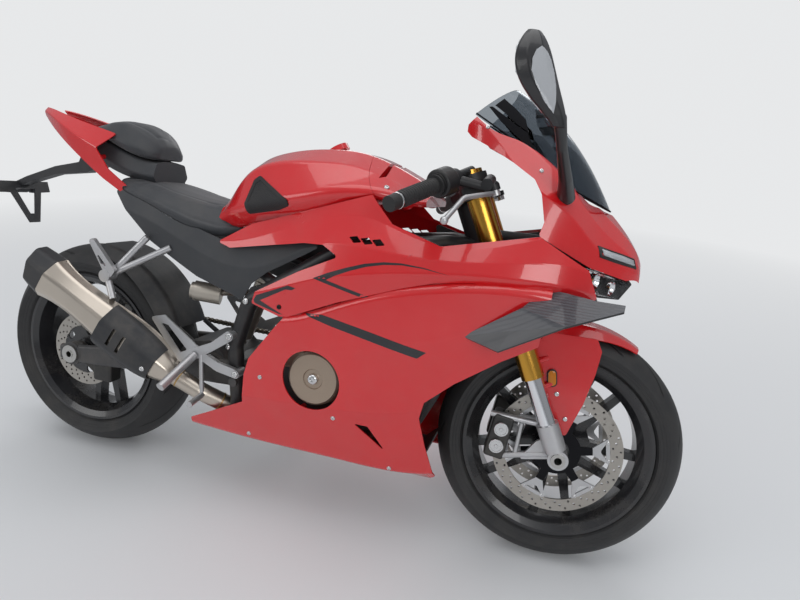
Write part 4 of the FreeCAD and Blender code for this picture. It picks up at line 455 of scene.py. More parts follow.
wheel_group, given, out = new_group("wheel_coordinates",
                                    [("Centre", VECTOR, (0, 0, 0)), ("Axle", VECTOR, (0, 1, 0)),
                                     ("Ahead", VECTOR, (1, 0, 0)), ("Up", VECTOR, (0, 0, 1))],
                                    [("Turn", FLOAT), ("Side mm", FLOAT), ("Radius mm", FLOAT)])
arm = vector_calc(wheel_group, "SUBTRACT", position(wheel_group), given["Centre"])
on_axle, on_ahead, on_up = [vector_calc(wheel_group, "DOT_PRODUCT", arm, given[axis])
                            for axis in ("Axle", "Ahead", "Up")]
flat = add(wheel_group, "ShaderNodeCombineXYZ", {0: on_ahead, 1: on_up}).outputs[0]
give(wheel_group, out, {
    "Turn": calc(wheel_group, "MULTIPLY", calc(wheel_group, "ARCTAN2", on_up, on_ahead), 1 / math.tau),
    "Side mm": calc(wheel_group, "MULTIPLY", on_axle, 1000.0),
    "Radius mm": calc(wheel_group, "MULTIPLY", vector_calc(wheel_group, "LENGTH", flat), 1000.0)})


def wheel_node(tree, front):
    """Turn, side and radius of the shaded point about one wheel of the parked machine."""
    matrix = STEERED if front else MACHINE
    middle = (WHEELBASE, 0, FRONT_AXLE_HEIGHT) if front else (0.0, 0, REAR_AXLE_HEIGHT)
    made = group_node(tree, wheel_group, {
        "Centre": matrix @ Vector(middle), "Axle": direction(0, 1, 0, front),
        "Ahead": direction(1, 0, 0, front), "Up": direction(0, 0, 1, front)})
    return made.outputs["Turn"], made.outputs["Side mm"], made.outputs["Radius mm"]


def tyre_material(name, front, grooves, reach, shoulder):
    """Black rubber with slanted grooves across the tread, their painted shade darker, and rings on the side
    walls.

    The tread reaches so far to each side of the middle, and ends at the shoulder's radius."""
    tree, shader = finish(name, (0.020, 0.020, 0.021), 0.58, grain=0.9, depth=0.05, dust=0.12, vary=0.05)
    turn, side, radius = wheel_node(tree, front)
    off = calc(tree, "ABSOLUTE", side)
    half_step = calc(tree, "MULTIPLY", calc(tree, "GREATER_THAN", side, 0.0), 0.5)
    along = calc(tree, "MULTIPLY", turn, float(grooves))
    leaned = calc(tree, "ADD", along, calc(tree, "MULTIPLY", off, GROOVE_SLANT / reach))
    cycle = calc(tree, "FRACT", calc(tree, "ADD", leaned, half_step))
    away = calc(tree, "ABSOLUTE", calc(tree, "SUBTRACT", cycle, 0.5))
    tread = calc(tree, "GREATER_THAN", radius, shoulder)
    groove = remap(tree, away, 0.035, 0.055, 1.0, 0.0)
    inner_limit = remap(tree, off, 0.10 * reach, 0.14 * reach)
    outer_limit = remap(tree, off, 0.80 * reach, 0.84 * reach, 1.0, 0.0)
    for limit in (inner_limit, outer_limit, tread):
        groove = calc(tree, "MULTIPLY", groove, limit)
    wave = calc(tree, "SINE", calc(tree, "MULTIPLY", radius, math.tau / WALL_RING_PITCH))
    rings = calc(tree, "MULTIPLY", remap(tree, wave, 0.75, 0.95), calc(tree, "SUBTRACT", 1.0, tread))
    total = calc(tree, "SUBTRACT", calc(tree, "MULTIPLY", rings, WALL_RING_SHARE), groove)
    deep = add(tree, "ShaderNodeBump", {"Height": total, "Distance": GROOVE_DEPTH,
                                        "Normal": tree.nodes["Bump"].outputs["Normal"]})
    tree.links.new(deep.outputs["Normal"], shader.inputs["Normal"])
    # Painted shade: the groove mask darkens the rubber's colour inside the grooves.
    recolour(tree, shader, groove, GROOVE_PAINTED_SHADE)


tyre_material("front_tyre_rubber", True, grooves=13, reach=58.0, shoulder=255.0)
tyre_material("rear_tyre_rubber", False, grooves=12, reach=86.0, shoulder=258.0)
print("tyre materials ready")

# %% [markdown]
# The ring carriers are black round the hub and along their arms; only the flared tabs further out are
# bare silver. The distance from the axle tells the two apart.

# %% Ring carrier material
TAB_RADIUS = 85.0
ARM_BLACK = (0.012, 0.012, 0.014, 1)
tree, shader = finish("carrier_alloy", (0.56, 0.56, 0.57), 0.36, metal=0.85, depth=0.04)
radius = wheel_node(tree, True)[2]
recolour(tree, shader, calc(tree, "LESS_THAN", radius, TAB_RADIUS), ARM_BLACK)
print("carrier material ready")

# %% [markdown]
# Glass needs another recipe. The windscreen is a smoked acrylic sheet, lamp covers are clear, and
# lenses are coloured but still let light in.

# %% Clear and coloured glass
def glass(name, colour, rough=0.02, through=1.0, ior=1.46):
    """Transparent plastic with a faint unevenness in its surface."""
    tree, shader = new_finish(name, {"Transmission Weight": through, "IOR": ior, "Metallic": 0.0})
    texture = group_node(tree, grain_group, {"Grain mm": 30.0})
    dark = tuple(c * 0.94 for c in colour) + (1,)
    tone = tint(tree, texture.outputs["Tone"], dark, tuple(colour) + (1,))
    skin(tree, shader, tone, 0.06, rough, rough + GLASS_DUST_ROUGH,
         {"Height": texture.outputs["Height"], "Distance": 0.0001, "Strength": 0.3})


glass("smoke_screen", (0.30, 0.33, 0.36), 0.02, ior=1.10)
glass("lamp_clear", (0.93, 0.94, 0.95), 0.01, ior=1.12)
glass("lens_red", (0.55, 0.015, 0.015), 0.10, through=0.35)
glass("lens_amber", (0.90, 0.30, 0.02), 0.12, through=0.35)
glass("lens_white", (0.85, 0.88, 0.92), 0.08, through=0.5)
finish("mirror_glass", (0.78, 0.80, 0.82), 0.03, metal=1.0, grain=0.5, depth=0.001, dust=0.08, vary=0.02)
finish("reflector_chrome", (0.82, 0.83, 0.85), 0.10, metal=1.0, grain=0.5, depth=0.001, dust=0.0, vary=0.02)
finish("display_glass", (0.008, 0.009, 0.012), 0.06, coat=1.0, grain=3.0, depth=0.001, dust=0.15)
print("glass finishes ready")

# %% [markdown]
# The winglets carry a carbon look: fine ribs on their upper face, and plain matt black below. The
# direction a face looks in tells the two apart, so one material serves the whole blade.

# %% Ribbed blade material
tree, shader = finish("blade_carbon", (0.050, 0.052, 0.062), 0.36, coat=0.5,
                      ribs=(direction(0.25, 0.97, 0), 7.0), rib_depth=0.7, dust=0.15, vary=0.25)
UPWARD_FROM, UPWARD_TO = 0.25, 0.45
UNDERSIDE_BLACK = (0.014, 0.014, 0.016, 1)
level = height_of(tree, add(tree, "ShaderNodeNewGeometry").outputs["Normal"])
recolour(tree, shader, remap(tree, level, UPWARD_FROM, UPWARD_TO, 1.0, 0.0), UNDERSIDE_BLACK)
bump_height = tree.nodes["Bump"].inputs["Height"]
on_top = remap(tree, level, UPWARD_FROM, UPWARD_TO)
only_top = calc(tree, "MULTIPLY", bump_height.links[0].from_socket, on_top)
tree.links.new(only_top, bump_height)
print("blade material ready")

# %% [markdown]
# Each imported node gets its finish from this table. The solids keep their shape; only the material in
# their slots changes.

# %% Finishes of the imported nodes
NODE_FINISHES = {
    "frame_black": "frame_main subframe side_stand",
    "engine_metal": "engine_block",
    "bronze_cover": "engine_covers",
    "radiator_black": "radiator",
    "exhaust_steel": "exhaust_pipes silencer",
    "matte_black": "silencer_covers rear_hugger plate_bracket rear_indicators inner_panels lamp_housing "
                   "front_stay",
    "seat_tray": "side_covers tail_centre",
    "plain_black": "triple_clamps handlebars bar_controls",
    "swingarm_grey": "swingarm",
    "axle_steel": "rear_axle front_axle rear_sprocket",
    "cast_silver": "fork_feet rearsets passenger_hangers levers",
    "caliper_dark": "rear_caliper front_calipers",
    "carrier_alloy": "disc_carriers",
    "shock_metal": "shock",
    "chain_steel": "chain_drive",
    "red_paint": "fuel_tank tank_front_cover tail_wings side_fairing_right side_fairing_left "
                 "lower_fairing_right lower_fairing_left upper_cowl front_fender",
    "pad_rubber": "tank_pads",
    "seat_vinyl": "rider_seat pillion_seat",
    "lens_red": "tail_light",
    "smoke_screen": "windscreen",
    "lamp_clear": "headlights",
    "display_glass": "instrument",
    "blade_carbon": "winglets",
    "mirror_black": "mirrors",
    "fork_gold": "fork_tubes",
    "fork_chrome": "fork_sliders",
    "grip_rubber": "grips",
    "front_tyre_rubber": "front_tyre",
    "rear_tyre_rubber": "rear_tyre",
    "rim_black": "front_rim rear_rim",
    "disc_steel": "front_discs rear_disc",
}
for name, nodes in NODE_FINISHES.items():
    for node_name in nodes.split():
        for holder in frame["nodes"][node_name].material_slots:
            holder.material = finishes[name]
dressed = set(" ".join(NODE_FINISHES.values()).split())
print("nodes with a finish", len(dressed), "without", sorted(set(frame["nodes"]) - dressed))

# %% [markdown]
# New pieces are drawn in millimetres in the upright drawing and carried to the parked machine by one
# of the two matrices. One helper does that for any mesh; others draw bodies of revolution, which make
# most screws, caps, ribs and lenses.

# %% Helpers that make a mesh piece
STEERING_BODIES = ("steering", "front_wheel")
SIDES = ((-1, "right"), (1, "left"))


def new_object(name, points, faces):
    """Linked object of these points and faces, its normals outward."""
    mesh = bpy.data.meshes.new(name)
    mesh.from_pydata(points, [], faces)
    shaped = bmesh.new()
    shaped.from_mesh(mesh)
    bmesh.ops.recalc_face_normals(shaped, faces=shaped.faces)
    shaped.to_mesh(mesh)
    shaped.free()
    made = bpy.data.objects.new(name, mesh)
    scene.collection.objects.link(made)
    return made


def soften(made, angle=35.0):
    """Smooth shading that keeps the sharp edges sharp."""
    mesh = made.data
    for polygon in mesh.polygons:
        polygon.use_smooth = True
    shaped = bmesh.new()
    shaped.from_mesh(mesh)
    limit = math.radians(angle)
    for edge in shaped.edges:
        if len(edge.link_faces) == 2 and edge.calc_face_angle(0) > limit:
            edge.smooth = False
    shaped.to_mesh(mesh)
    shaped.free()


def carried(made, body, material):
    """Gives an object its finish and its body."""
    made.data.materials.clear()
    made.data.materials.append(finishes[material])
    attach(made, body)
    return made


def place_of(body):
    """Matrix from the drawing to the parked place of what rides on the body."""
    return STEERED if body in STEERING_BODIES else MACHINE


def piece(name, points, faces, body, slot, material, smooth=True):
    """Mesh from drawing points, riding on a body of the machine."""
    matrix = place_of(body)
    made = new_object(name, [matrix @ Vector(p) for p in points], faces)
    if smooth:
        soften(made)
    return carried(made, body, material)


def with_modifiers(made):
    """The object's mesh as its modifiers shape it takes the place of its plain mesh."""
    bpy.context.view_layer.update()
    mesh = bpy.data.meshes.new_from_object(made.evaluated_get(bpy.context.evaluated_depsgraph_get()))
    made.modifiers.clear()
    made.data = mesh
    return mesh


def thicken(made, thickness):
    """Gives a sheet its thickness in metres, half to each side."""
    step = made.modifiers.new("thick", "SOLIDIFY")
    step.thickness, step.offset = thickness, 0.0


def bands(rows, steps, closed=False):
    """Faces between rings of points; the last ring can join the first."""
    faces = []
    for row in range(rows if closed else rows - 1):
        a, b = row * steps, (row + 1) % rows * steps
        for i in range(steps):
            j = (i + 1) % steps
            faces.append((a + i, a + j, b + j, b + i))
    return faces


def end_faces(rows, steps):
    """Flat faces over the first and the last ring."""
    last = (rows - 1) * steps
    return [tuple(range(steps)), tuple(last + i for i in range(steps))]


def circle(middle, side_way, other, radius, steps):
    """Points round a middle in the plane of two directions."""
    angles = [math.tau * i / steps for i in range(steps)]
    return [middle + (side_way * math.cos(a) + other * math.sin(a)) * radius for a in angles]


def turned_points(start, end, profile, steps):
    """Rings of points about the line from start to end."""
    start, end = Vector(start), Vector(end)
    line = (end - start).normalized()
    side_way = line.orthogonal().normalized()
    other = line.cross(side_way)
    return [point for distance, radius in profile
            for point in circle(start + line * distance, side_way, other, radius, steps)]


def revolved(start, end, profile, steps=24):
    """Points and faces of a turned body: profile pairs are (distance from start, radius) in mm."""
    rows = len(profile)
    return turned_points(start, end, profile, steps), bands(rows, steps) + end_faces(rows, steps)


def hoop(start, end, profile, steps=24):
    """Turned ring: the profile closes on itself, so its middle stays open."""
    return turned_points(start, end, profile, steps), bands(len(profile), steps, True)


def gathered(parts):
    """One list of points and faces from several."""
    points, faces = [], []
    for new_points, new_faces in parts:
        base = len(points)
        points.extend(new_points)
        faces.extend(tuple(base + i for i in f) for f in new_faces)
    return points, faces


def mirrored(part):
    """The same part on the other side of the machine."""
    points, faces = part
    return [Vector((p[0], -p[1], p[2])) for p in points], faces


print("piece helpers ready")

# %% [markdown]
# Details such as stripes and screws have to sit on curved panels. A ray from the side finds the panel
# below a point of the side view, and the panel's own slope there tells how the detail leans.

# %% Find the surface of a panel
trees = {}
TO_DRAWING = MACHINE.inverted()
BESIDE, AHEAD_OF_NOSE = 900.0, 1800.0


def surface(node_name):
    """Search tree over a node's faces, in the upright drawing's millimetres."""
    if node_name not in trees:
        inverse = place_of(body_of(frame["nodes"][node_name])[0]).inverted()
        mesh = frame["nodes"][node_name].data
        mesh.calc_loop_triangles()
        trees[node_name] = BVHTree.FromPolygons([inverse @ v.co for v in mesh.vertices],
                                                [t.vertices for t in mesh.loop_triangles])
    return trees[node_name]


def on_panel(nodes, begin, way):
    """Nearest hit of a ray on any of the nodes: its place and outward normal, or None."""
    best = None
    for node_name in nodes:
        place, normal, _, distance = surface(node_name).ray_cast(Vector(begin), Vector(way))
        if place is not None and (best is None or distance < best[2]):
            if normal.dot(Vector(way)) > 0:
                normal = -normal
            best = (place, normal, distance)
    return best[:2] if best else None


def from_side(nodes, x, z, side=-1):
    """Place and normal where the panels are hit at x, z from one side."""
    return on_panel(nodes, (x, side * BESIDE, z), (0, -side, 0))


print("panel helpers ready")

# %% [markdown]
# Brake rings are drilled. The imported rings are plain, so drilled ones of the same size take their
# place: each is built as a flat ring with holes cut by a boolean.

# %% Drilled brake rings
FRONT_CENTRE = (WHEELBASE, FRONT_AXLE_HEIGHT)
REAR_CENTRE = (0.0, REAR_AXLE_HEIGHT)
FRONT_RING_Y, REAR_RING_Y = 66.0, -88.0
RING_THICK, RING_HOLE, HOLE_HALF = 5.0, 3.0, 6.0


def drilled(name, points, faces, holes, body, slot, material):
    """Body in drawing millimetres with holes cut through, then carried to its place."""
    made = new_object(name, points, faces)
    cutter = new_object(name + "_holes", *gathered(holes))
    step = made.modifiers.new("holes", "BOOLEAN")
    step.operation = "DIFFERENCE"
    step.object = cutter
    step.solver = "EXACT"
    with_modifiers(made).transform(place_of(body))
    bpy.data.objects.remove(cutter)
    soften(made, 30.0)
    return carried(made, body, material)


def around(centre, reach, count, turned_by=0.0):
    """Evenly spaced places on a circle in the side view."""
    angles = [math.tau * k / count + turned_by for k in range(count)]
    return [(centre[0] + reach * math.cos(a), centre[1] + reach * math.sin(a)) for a in angles]


def ring(centre, y, outer, inner, steps=96):
    """Flat ring across the y axis."""
    edges = ((-1, outer), (1, outer), (1, inner), (-1, inner))
    points = [(x, y + side * RING_THICK / 2, z) for side, radius in edges
              for x, z in around(centre, radius, steps)]
    return points, bands(4, steps, True)


def across_rod(x, y, z, radius, half, steps=12):
    """Round rod along the y axis."""
    return revolved((x, y - half, z), (x, y + half, z), [(0, radius), (2 * half, radius)], steps)


def ring_holes(centre, y, radii, count, sweep):
    """Slanted rows of holes: each row steps round the ring as it goes out."""
    rows = [around(centre, radius, count, sweep * step) for step, radius in enumerate(radii)]
    return [across_rod(x, y, z, RING_HOLE, HOLE_HALF) for row in zip(*rows) for x, z in row]


for side, word in SIDES:
    y = side * FRONT_RING_Y
    holes = ring_holes(FRONT_CENTRE, y, (131.5, 140.0, 148.5), 26, 0.085)
    made = drilled("front_disc_" + word, *ring(FRONT_CENTRE, y, 155.0, 125.0), holes, "front_wheel",
                   "disc_steel", "disc_steel")
    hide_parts("front_discs")
print("drilled front rings", 2)

# %% [markdown]
# The rear ring is drilled the same way, and its carrier has five round windows. Two rivets join each
# tab of the front carriers to its ring.

# %% Rear ring and carrier rivets
holes = ring_holes(REAR_CENTRE, REAR_RING_Y, (80.0, 90.0, 100.0), 22, 0.10)
windows = [across_rod(x, REAR_RING_Y, z, 13.0, HOLE_HALF, 24) for x, z in around(REAR_CENTRE, 62.0, 5)]
for name, outer, inner, cuts, look in (("rear_ring", 110.0, 72.0, holes, "disc_steel"),
                                       ("rear_ring_carrier", 74.0, 32.0, windows, "rim_black")):
    made = drilled(name, *ring(REAR_CENTRE, REAR_RING_Y, outer, inner), cuts, "rear_wheel", "disc_steel",
                   look)
    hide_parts("rear_disc")


def button_head(place, normal, radius, rise=0.55):
    """Screw head with a round socket, its seat 1 mm below the surface."""
    way = Vector(normal).normalized()
    seat = Vector(place) - way
    tall = 1.0 + radius * rise
    profile = [(0, radius), (tall * 0.55, radius), (tall * 0.86, radius * 0.86), (tall, radius * 0.62),
               (tall, radius * 0.44), (tall * 0.5, radius * 0.40)]
    return revolved(seat, seat + way, profile, 20)


RIVET_REACH, RIVET_FACE, RIVET_SPREAD, ARM_TURN = 122.0, 68.5, 0.19, math.radians(10.0)
rivets = []
for side in (-1, 1):
    for spread in (-RIVET_SPREAD, RIVET_SPREAD):
        for x, z in around(FRONT_CENTRE, RIVET_REACH, 6, ARM_TURN + spread):
            rivets.append(button_head((x, side * RIVET_FACE, z), (0, side, 0), 4.5, 0.4))
piece("carrier_rivets", *gathered(rivets), "front_wheel", "cast_silver", "bolt_silver")
print("rivets", len(rivets))

# %% [markdown]
# Each front caliper has a dark body with two bright round caps over its pistons. The caps sit on its
# bosses, whose place is measured from the axle: so far out along the caliper's own line, and half the
# spacing to each side of it.

# %% Caliper caps
CALIPER_ANGLE, CALIPER_REACH, CAP_SPACING, BOSS_FACE = math.radians(147.0), 143.0, 44.0, 105.0
CAP_PROFILE = [(0, 17.5), (4.6, 17.5), (5.6, 16.4), (5.6, 13.4), (4.8, 12.8), (4.8, 5.0), (5.6, 4.2),
               (5.6, 1.0)]
ahead_line = Vector((math.cos(RAKE), 0, math.sin(RAKE)))
stem_line = Vector((-math.sin(RAKE), 0, math.cos(RAKE)))
outward = ahead_line * math.cos(CALIPER_ANGLE) + stem_line * math.sin(CALIPER_ANGLE)
along_body = ahead_line * math.sin(CALIPER_ANGLE) - stem_line * math.cos(CALIPER_ANGLE)
bosses = Vector((FRONT_CENTRE[0], 0, FRONT_CENTRE[1])) + outward * CALIPER_REACH
caps = []
for side in (-1, 1):
    for end in (-1, 1):
        seat = bosses + along_body * end * CAP_SPACING / 2 + Vector((0, side * (BOSS_FACE - 3), 0))
        caps.append(revolved(seat, seat + Vector((0, side, 0)), CAP_PROFILE, 32))
piece("caliper_caps", *gathered(caps), "steering", "cast_silver", "bolt_silver")
print("caliper caps", len(caps))

# %% [markdown]
# Screws hold the panels. The table says on which panel each sits, where in the side view, how wide its
# head is, and whether the machine has one on each side. Two more hold each hanger of the foot pegs.

# %% Screws of the panels and brackets
PANEL_SCREWS = (
    # panel on the right, x, z, head radius, finish, both sides
    ("side_fairing_right", 706.5, 580.6, 6.0, "bolt_black", True),
    ("lower_fairing_right", 661.5, 391.7, 6.0, "bolt_silver", True),
    ("lower_fairing_right", 616.1, 213.9, 6.0, "bolt_silver", True),
    ("lower_fairing_right", 862.6, 323.5, 6.0, "bolt_silver", True),
    ("lower_fairing_right", 1004.3, 202.4, 6.0, "bolt_silver", True),
    ("upper_cowl", 1140.0, 1038.0, 5.0, "bolt_silver", True),
    ("upper_cowl", 1268.0, 955.0, 5.0, "bolt_silver", True),
    ("tank_front_cover", 928.0, 887.0, 6.5, "bolt_silver", True),
    ("silencer_covers", 338.0, 362.0, 7.0, "bolt_silver", False),
    ("engine_covers", 801.0, 411.0, 13.0, "bolt_silver", False),
    ("frame_main", 824.0, 726.0, 9.0, "bolt_silver", True),
    ("frame_main", 589.0, 569.0, 9.0, "bolt_silver", True),
    ("frame_main", 536.0, 436.0, 9.0, "bolt_silver", True),
    ("front_fender", 1368.5, 445.0, 6.0, "bolt_silver", True),
    ("front_fender", 1396.5, 387.0, 6.0, "bolt_silver", True),
)
HANGER_FACE, HANGER_BOLTS = 187.0, ((555, 473), (577, 375))
groups = {}
for panel, x, z, radius, look, both_sides in PANEL_SCREWS:
    for side, word in (SIDES if both_sides else SIDES[:1]):
        node_name = panel.replace("right", word)
        hit = from_side([node_name], x, z, side)
        if hit is None:
            print("no panel under screw", node_name, x, z)
            continue
        body = body_of(frame["nodes"][node_name])[0]
        groups.setdefault((look, body), []).append(button_head(*hit, radius))
groups[("bolt_silver", "root")] += [button_head((x, side * HANGER_FACE, z), (0, side, 0), 9.0)
                                    for side in (-1, 1) for x, z in HANGER_BOLTS]
for (look, body), heads in groups.items():
    slot = "fork_chrome" if body == "steering" else "cast_silver"
    piece("screws_" + look.split("_")[1] + "_" + body, *gathered(heads), body, slot, look)
print("screws", {key: len(heads) for key, heads in groups.items()})

# %% [markdown]
# Stripes are thin films on the paint. A flat outline is drawn in the side view, cut into small cells,
# and each corner is dropped on the panel by a ray, so the film bends with it.

# %% Films on the panels
def divide(shaped, outline, cell):
    """Cuts a flat outline into cells."""
    for axis, cut in ((0, Vector((1, 0, 0))), (1, Vector((0, 0, 1)))):
        values = [corner[axis] for corner in outline]
        at = min(values) + cell
        while at < max(values):
            bmesh.ops.bisect_plane(shaped, geom=shaped.verts[:] + shaped.edges[:] + shaped.faces[:],
                                   plane_co=cut * at, plane_no=cut)
            at += cell
    bmesh.ops.triangulate(shaped, faces=shaped.faces[:])


def film(name, nodes, outline, body, slot, material, side=-1, lift=0.3, cell=9.0):
    """Thin film of one outline (x, z in the side view), laid on the nodes from one side."""
    shaped = bmesh.new()
    shaped.faces.new([shaped.verts.new((x, 0, z)) for x, z in outline])
    divide(shaped, outline, cell)
    missed = []
    for vertex in shaped.verts:
        hit = from_side(nodes, vertex.co.x, vertex.co.z, side)
        if hit is None:
            missed.append(vertex)
        else:
            vertex.co = hit[0] + hit[1] * lift
    bmesh.ops.delete(shaped, geom=missed, context="VERTS")
    shaped.verts.index_update()
    points = [v.co.copy() for v in shaped.verts]
    faces = [tuple(v.index for v in f.verts) for f in shaped.faces]
    shaped.free()
    return piece(name, points, faces, body, slot, material)


FILMS = (
    # name, panels, outline
    ("rear_stripe", ("side_fairing_right",),
     ((631.5, 585.1), (639.8, 598.7), (729.0, 637.7), (750.2, 634.0), (739.3, 627.6), (722.5, 626.7),
      (650.7, 587.9), (716.9, 562.9), (705.2, 563.4), (634.9, 578.2))),
    ("arc_stripe", ("side_fairing_right", "lower_fairing_right"),
     ((794.0, 665.5), (832.1, 683.8), (874.7, 701.2), (919.6, 716.8), (964.0, 726.3), (1004.7, 729.3),
      (1055.6, 726.9), (1115.7, 718.0), (1056.0, 724.5), (1005.4, 725.3), (964.9, 720.6), (924.2, 710.6),
      (883.1, 694.8), (848.2, 678.6), (828.4, 666.3), (878.6, 655.0), (933.8, 642.5), (919.5, 637.6),
      (893.4, 643.4))),
    ("long_band", ("lower_fairing_right", "side_fairing_right"),
     ((772.9, 576.7), (823.3, 582.1), (951.2, 561.0), (1080.9, 537.5), (1060.9, 519.5), (952.9, 539.2),
      (847.7, 557.9), (789.1, 571.3))),
)
for name, panels, outline in FILMS:
    for side, word in SIDES:
        nodes = [panel.replace("right", word) for panel in panels]
        film(name + "_" + word, nodes, outline, "root", "red_paint", "stripe_black", side)
print("stripes", 2 * len(FILMS))

# %% [markdown]
# The knee pads have a raised border, and the windscreen a dark band and a dark wedge over its lower
# edge. All of them are films too, laid a little further off the panels than the stripes.

# %% Pad borders and screen bands
PAD_CORNERS = ((570, 786), (660, 806), (692, 820), (690, 834), (590, 884), (574, 872), (560, 812))
BORDER_INNER, BORDER_OUTER = 0.80, 0.965
SCREEN_BAND = ((1133, 1084), (1141, 1085), (1168, 1068), (1201, 1046.5), (1225, 1034), (1236, 1013),
               (1259, 988.5), (1270, 976), (1262, 981), (1240, 996), (1211, 1018.5), (1166, 1052))
SCREEN_WEDGE = ((1146, 1088), (1162, 1105.5), (1189, 1086), (1216, 1062.5), (1227, 1035), (1200, 1050),
                (1169, 1073))
pad_middle = [sum(corner[i] for corner in PAD_CORNERS) / len(PAD_CORNERS) for i in (0, 1)]


def toward_middle(corner, share):
    """Corner of the pad drawn in to a share of its distance from the middle."""
    return [pad_middle[i] + (corner[i] - pad_middle[i]) * share for i in (0, 1)]


for side, word in SIDES:
    for part, here in enumerate(PAD_CORNERS):
        after = PAD_CORNERS[(part + 1) % len(PAD_CORNERS)]
        outline = [toward_middle(here, BORDER_OUTER), toward_middle(after, BORDER_OUTER),
                   toward_middle(after, BORDER_INNER), toward_middle(here, BORDER_INNER)]
        film("pad_border_%s_%d" % (word, part), ["tank_pads"], outline, "root", "pad_rubber", "grip_rubber",
             side, 0.9, 6.0)
    for name, outline in (("screen_band_", SCREEN_BAND), ("screen_wedge_", SCREEN_WEDGE)):
        film(name + word, ["windscreen"], outline, "root", "smoke_screen", "band_black", side, 0.6, 7.0)
print("pad borders and screen bands ready")

# %% [markdown]
# A thin black seal runs along the windscreen's lower edges, at both sides and in front. The edge's
# corners are those of the solid; each point is then pulled onto the screen itself.

# %% Seal of the windscreen
SIDE_EDGE = [Vector(corner) for corner in
             ((1336, 114, 924), (1262, 127, 982), (1180, 127, 1027), (1108, 112, 1068))]
FRONT_MIDDLE, EDGE_HALF, EDGE_BACK = Vector((1428, 0, 884)), 114.0, Vector((-92, 0, 40))
SEAL_R = 1.8
ANY_WAY = Vector((0.31, 0.52, 0.80))


def tube(line, radius, steps=8):
    """Round tube along a line of points."""
    points = []
    for i, place in enumerate(line):
        way = (line[min(i + 1, len(line) - 1)] - line[max(i - 1, 0)]).normalized()
        side_way = way.cross(ANY_WAY).normalized()
        points += circle(place, side_way, way.cross(side_way), radius, steps)
    return points, bands(len(line), steps) + end_faces(len(line), steps)


def front_point(share):
    """Point of the front edge's arc; the share runs from -1 to 1."""
    deep = EDGE_BACK.length
    radius = (EDGE_HALF ** 2 + deep ** 2) / (2 * deep)
    a = math.asin(EDGE_HALF / radius) * share
    back = EDGE_BACK.normalized() * radius * (1 - math.cos(a))
    return FRONT_MIDDLE + back + Vector((0, radius * math.sin(a), 0))


def side_point(at):
    """Point of the smooth curve through the side edge's corners; it runs from 0 to 3."""
    n = min(int(at), 2)
    before, here, after, later = (SIDE_EDGE[max(0, min(3, k))] for k in (n - 1, n, n + 1, n + 2))
    f = at - n
    return 0.5 * (2 * here + (after - before) * f + (2 * before - 5 * here + 4 * after - later) * f ** 2
                  + (3 * here - before - 3 * after + later) * f ** 3)


edges = [[front_point(i / 16 - 1) for i in range(33)], [side_point(i / 10) for i in range(31)]]
screen = surface("windscreen")
seals = [tube([screen.find_nearest(p)[0] for p in edge], SEAL_R) for edge in edges]
seals.append(mirrored(seals[1]))
piece("screen_seal", *gathered(seals), "root", "smoke_screen", "band_black")
print("screen seal ready")

# %% [markdown]
# The seats are soft. Each one starts as a voxel remesh of its solid, shrinks a little, and swells again
# as cloth under pressure while its underside is held. The swelling is capped, then sewn lines are
# pressed in. The groove is a line in the side or top view: points near it sink.

# %% Seats as padded cloth
VOXEL_M, UNDERSIDE, UPPER_SIDE = 0.005, -0.35, 0.3
PRESSURE, STIFFNESS, SWELL_FRAMES = 4.0, 12.0, 20


def nearest_on(line, px, py):
    """Distance from a point to an open line of corners."""
    best = 1e9
    for (ax, ay), (bx, by) in zip(line, line[1:]):
        dx, dy = bx - ax, by - ay
        t = max(0.0, min(1.0, ((px - ax) * dx + (py - ay) * dy) / (dx * dx + dy * dy)))
        best = min(best, math.hypot(px - ax - t * dx, py - ay - t * dy))
    return best


def swell(made, normals, home, cap):
    """Cloth under pressure, its underside held and its travel capped."""
    mesh = made.data
    held = made.vertex_groups.new(name="held")
    held.add([v.index for v, n in zip(mesh.vertices, normals) if n.z < UNDERSIDE], 1.0, "REPLACE")
    settings = made.modifiers.new("cloth", "CLOTH").settings
    settings.use_pressure = True
    settings.uniform_pressure_force = PRESSURE
    settings.vertex_group_mass = "held"
    settings.effector_weights.gravity = 0.0
    settings.tension_stiffness = settings.compression_stiffness = STIFFNESS
    for number in range(1, SWELL_FRAMES + 1):
        scene.frame_set(number)
    swollen = made.evaluated_get(bpy.context.evaluated_depsgraph_get()).data
    places = [v.co.copy() for v in swollen.vertices]
    made.modifiers.clear()
    scene.frame_set(1)
    for vertex, place, base in zip(mesh.vertices, places, home):
        away = place - base
        if away.length > cap / 1000:
            place = base + away.normalized() * cap / 1000
        vertex.co = place


def press_seams(mesh, normals, seams):
    """Sinks the points near each sewn line; a line lies in the side or the top view."""
    for vertex, normal in zip(mesh.vertices, normals):
        p = TO_DRAWING @ vertex.co
        for view, width, depth, line in seams:
            if view == "top" and normal.z < UPPER_SIDE:
                continue
            gap = nearest_on(line, p.x, abs(p.y) if view == "top" else p.z)
            if gap < width:
                vertex.co = vertex.co - normal * (depth / 1000) * (1 - gap / width) ** 2


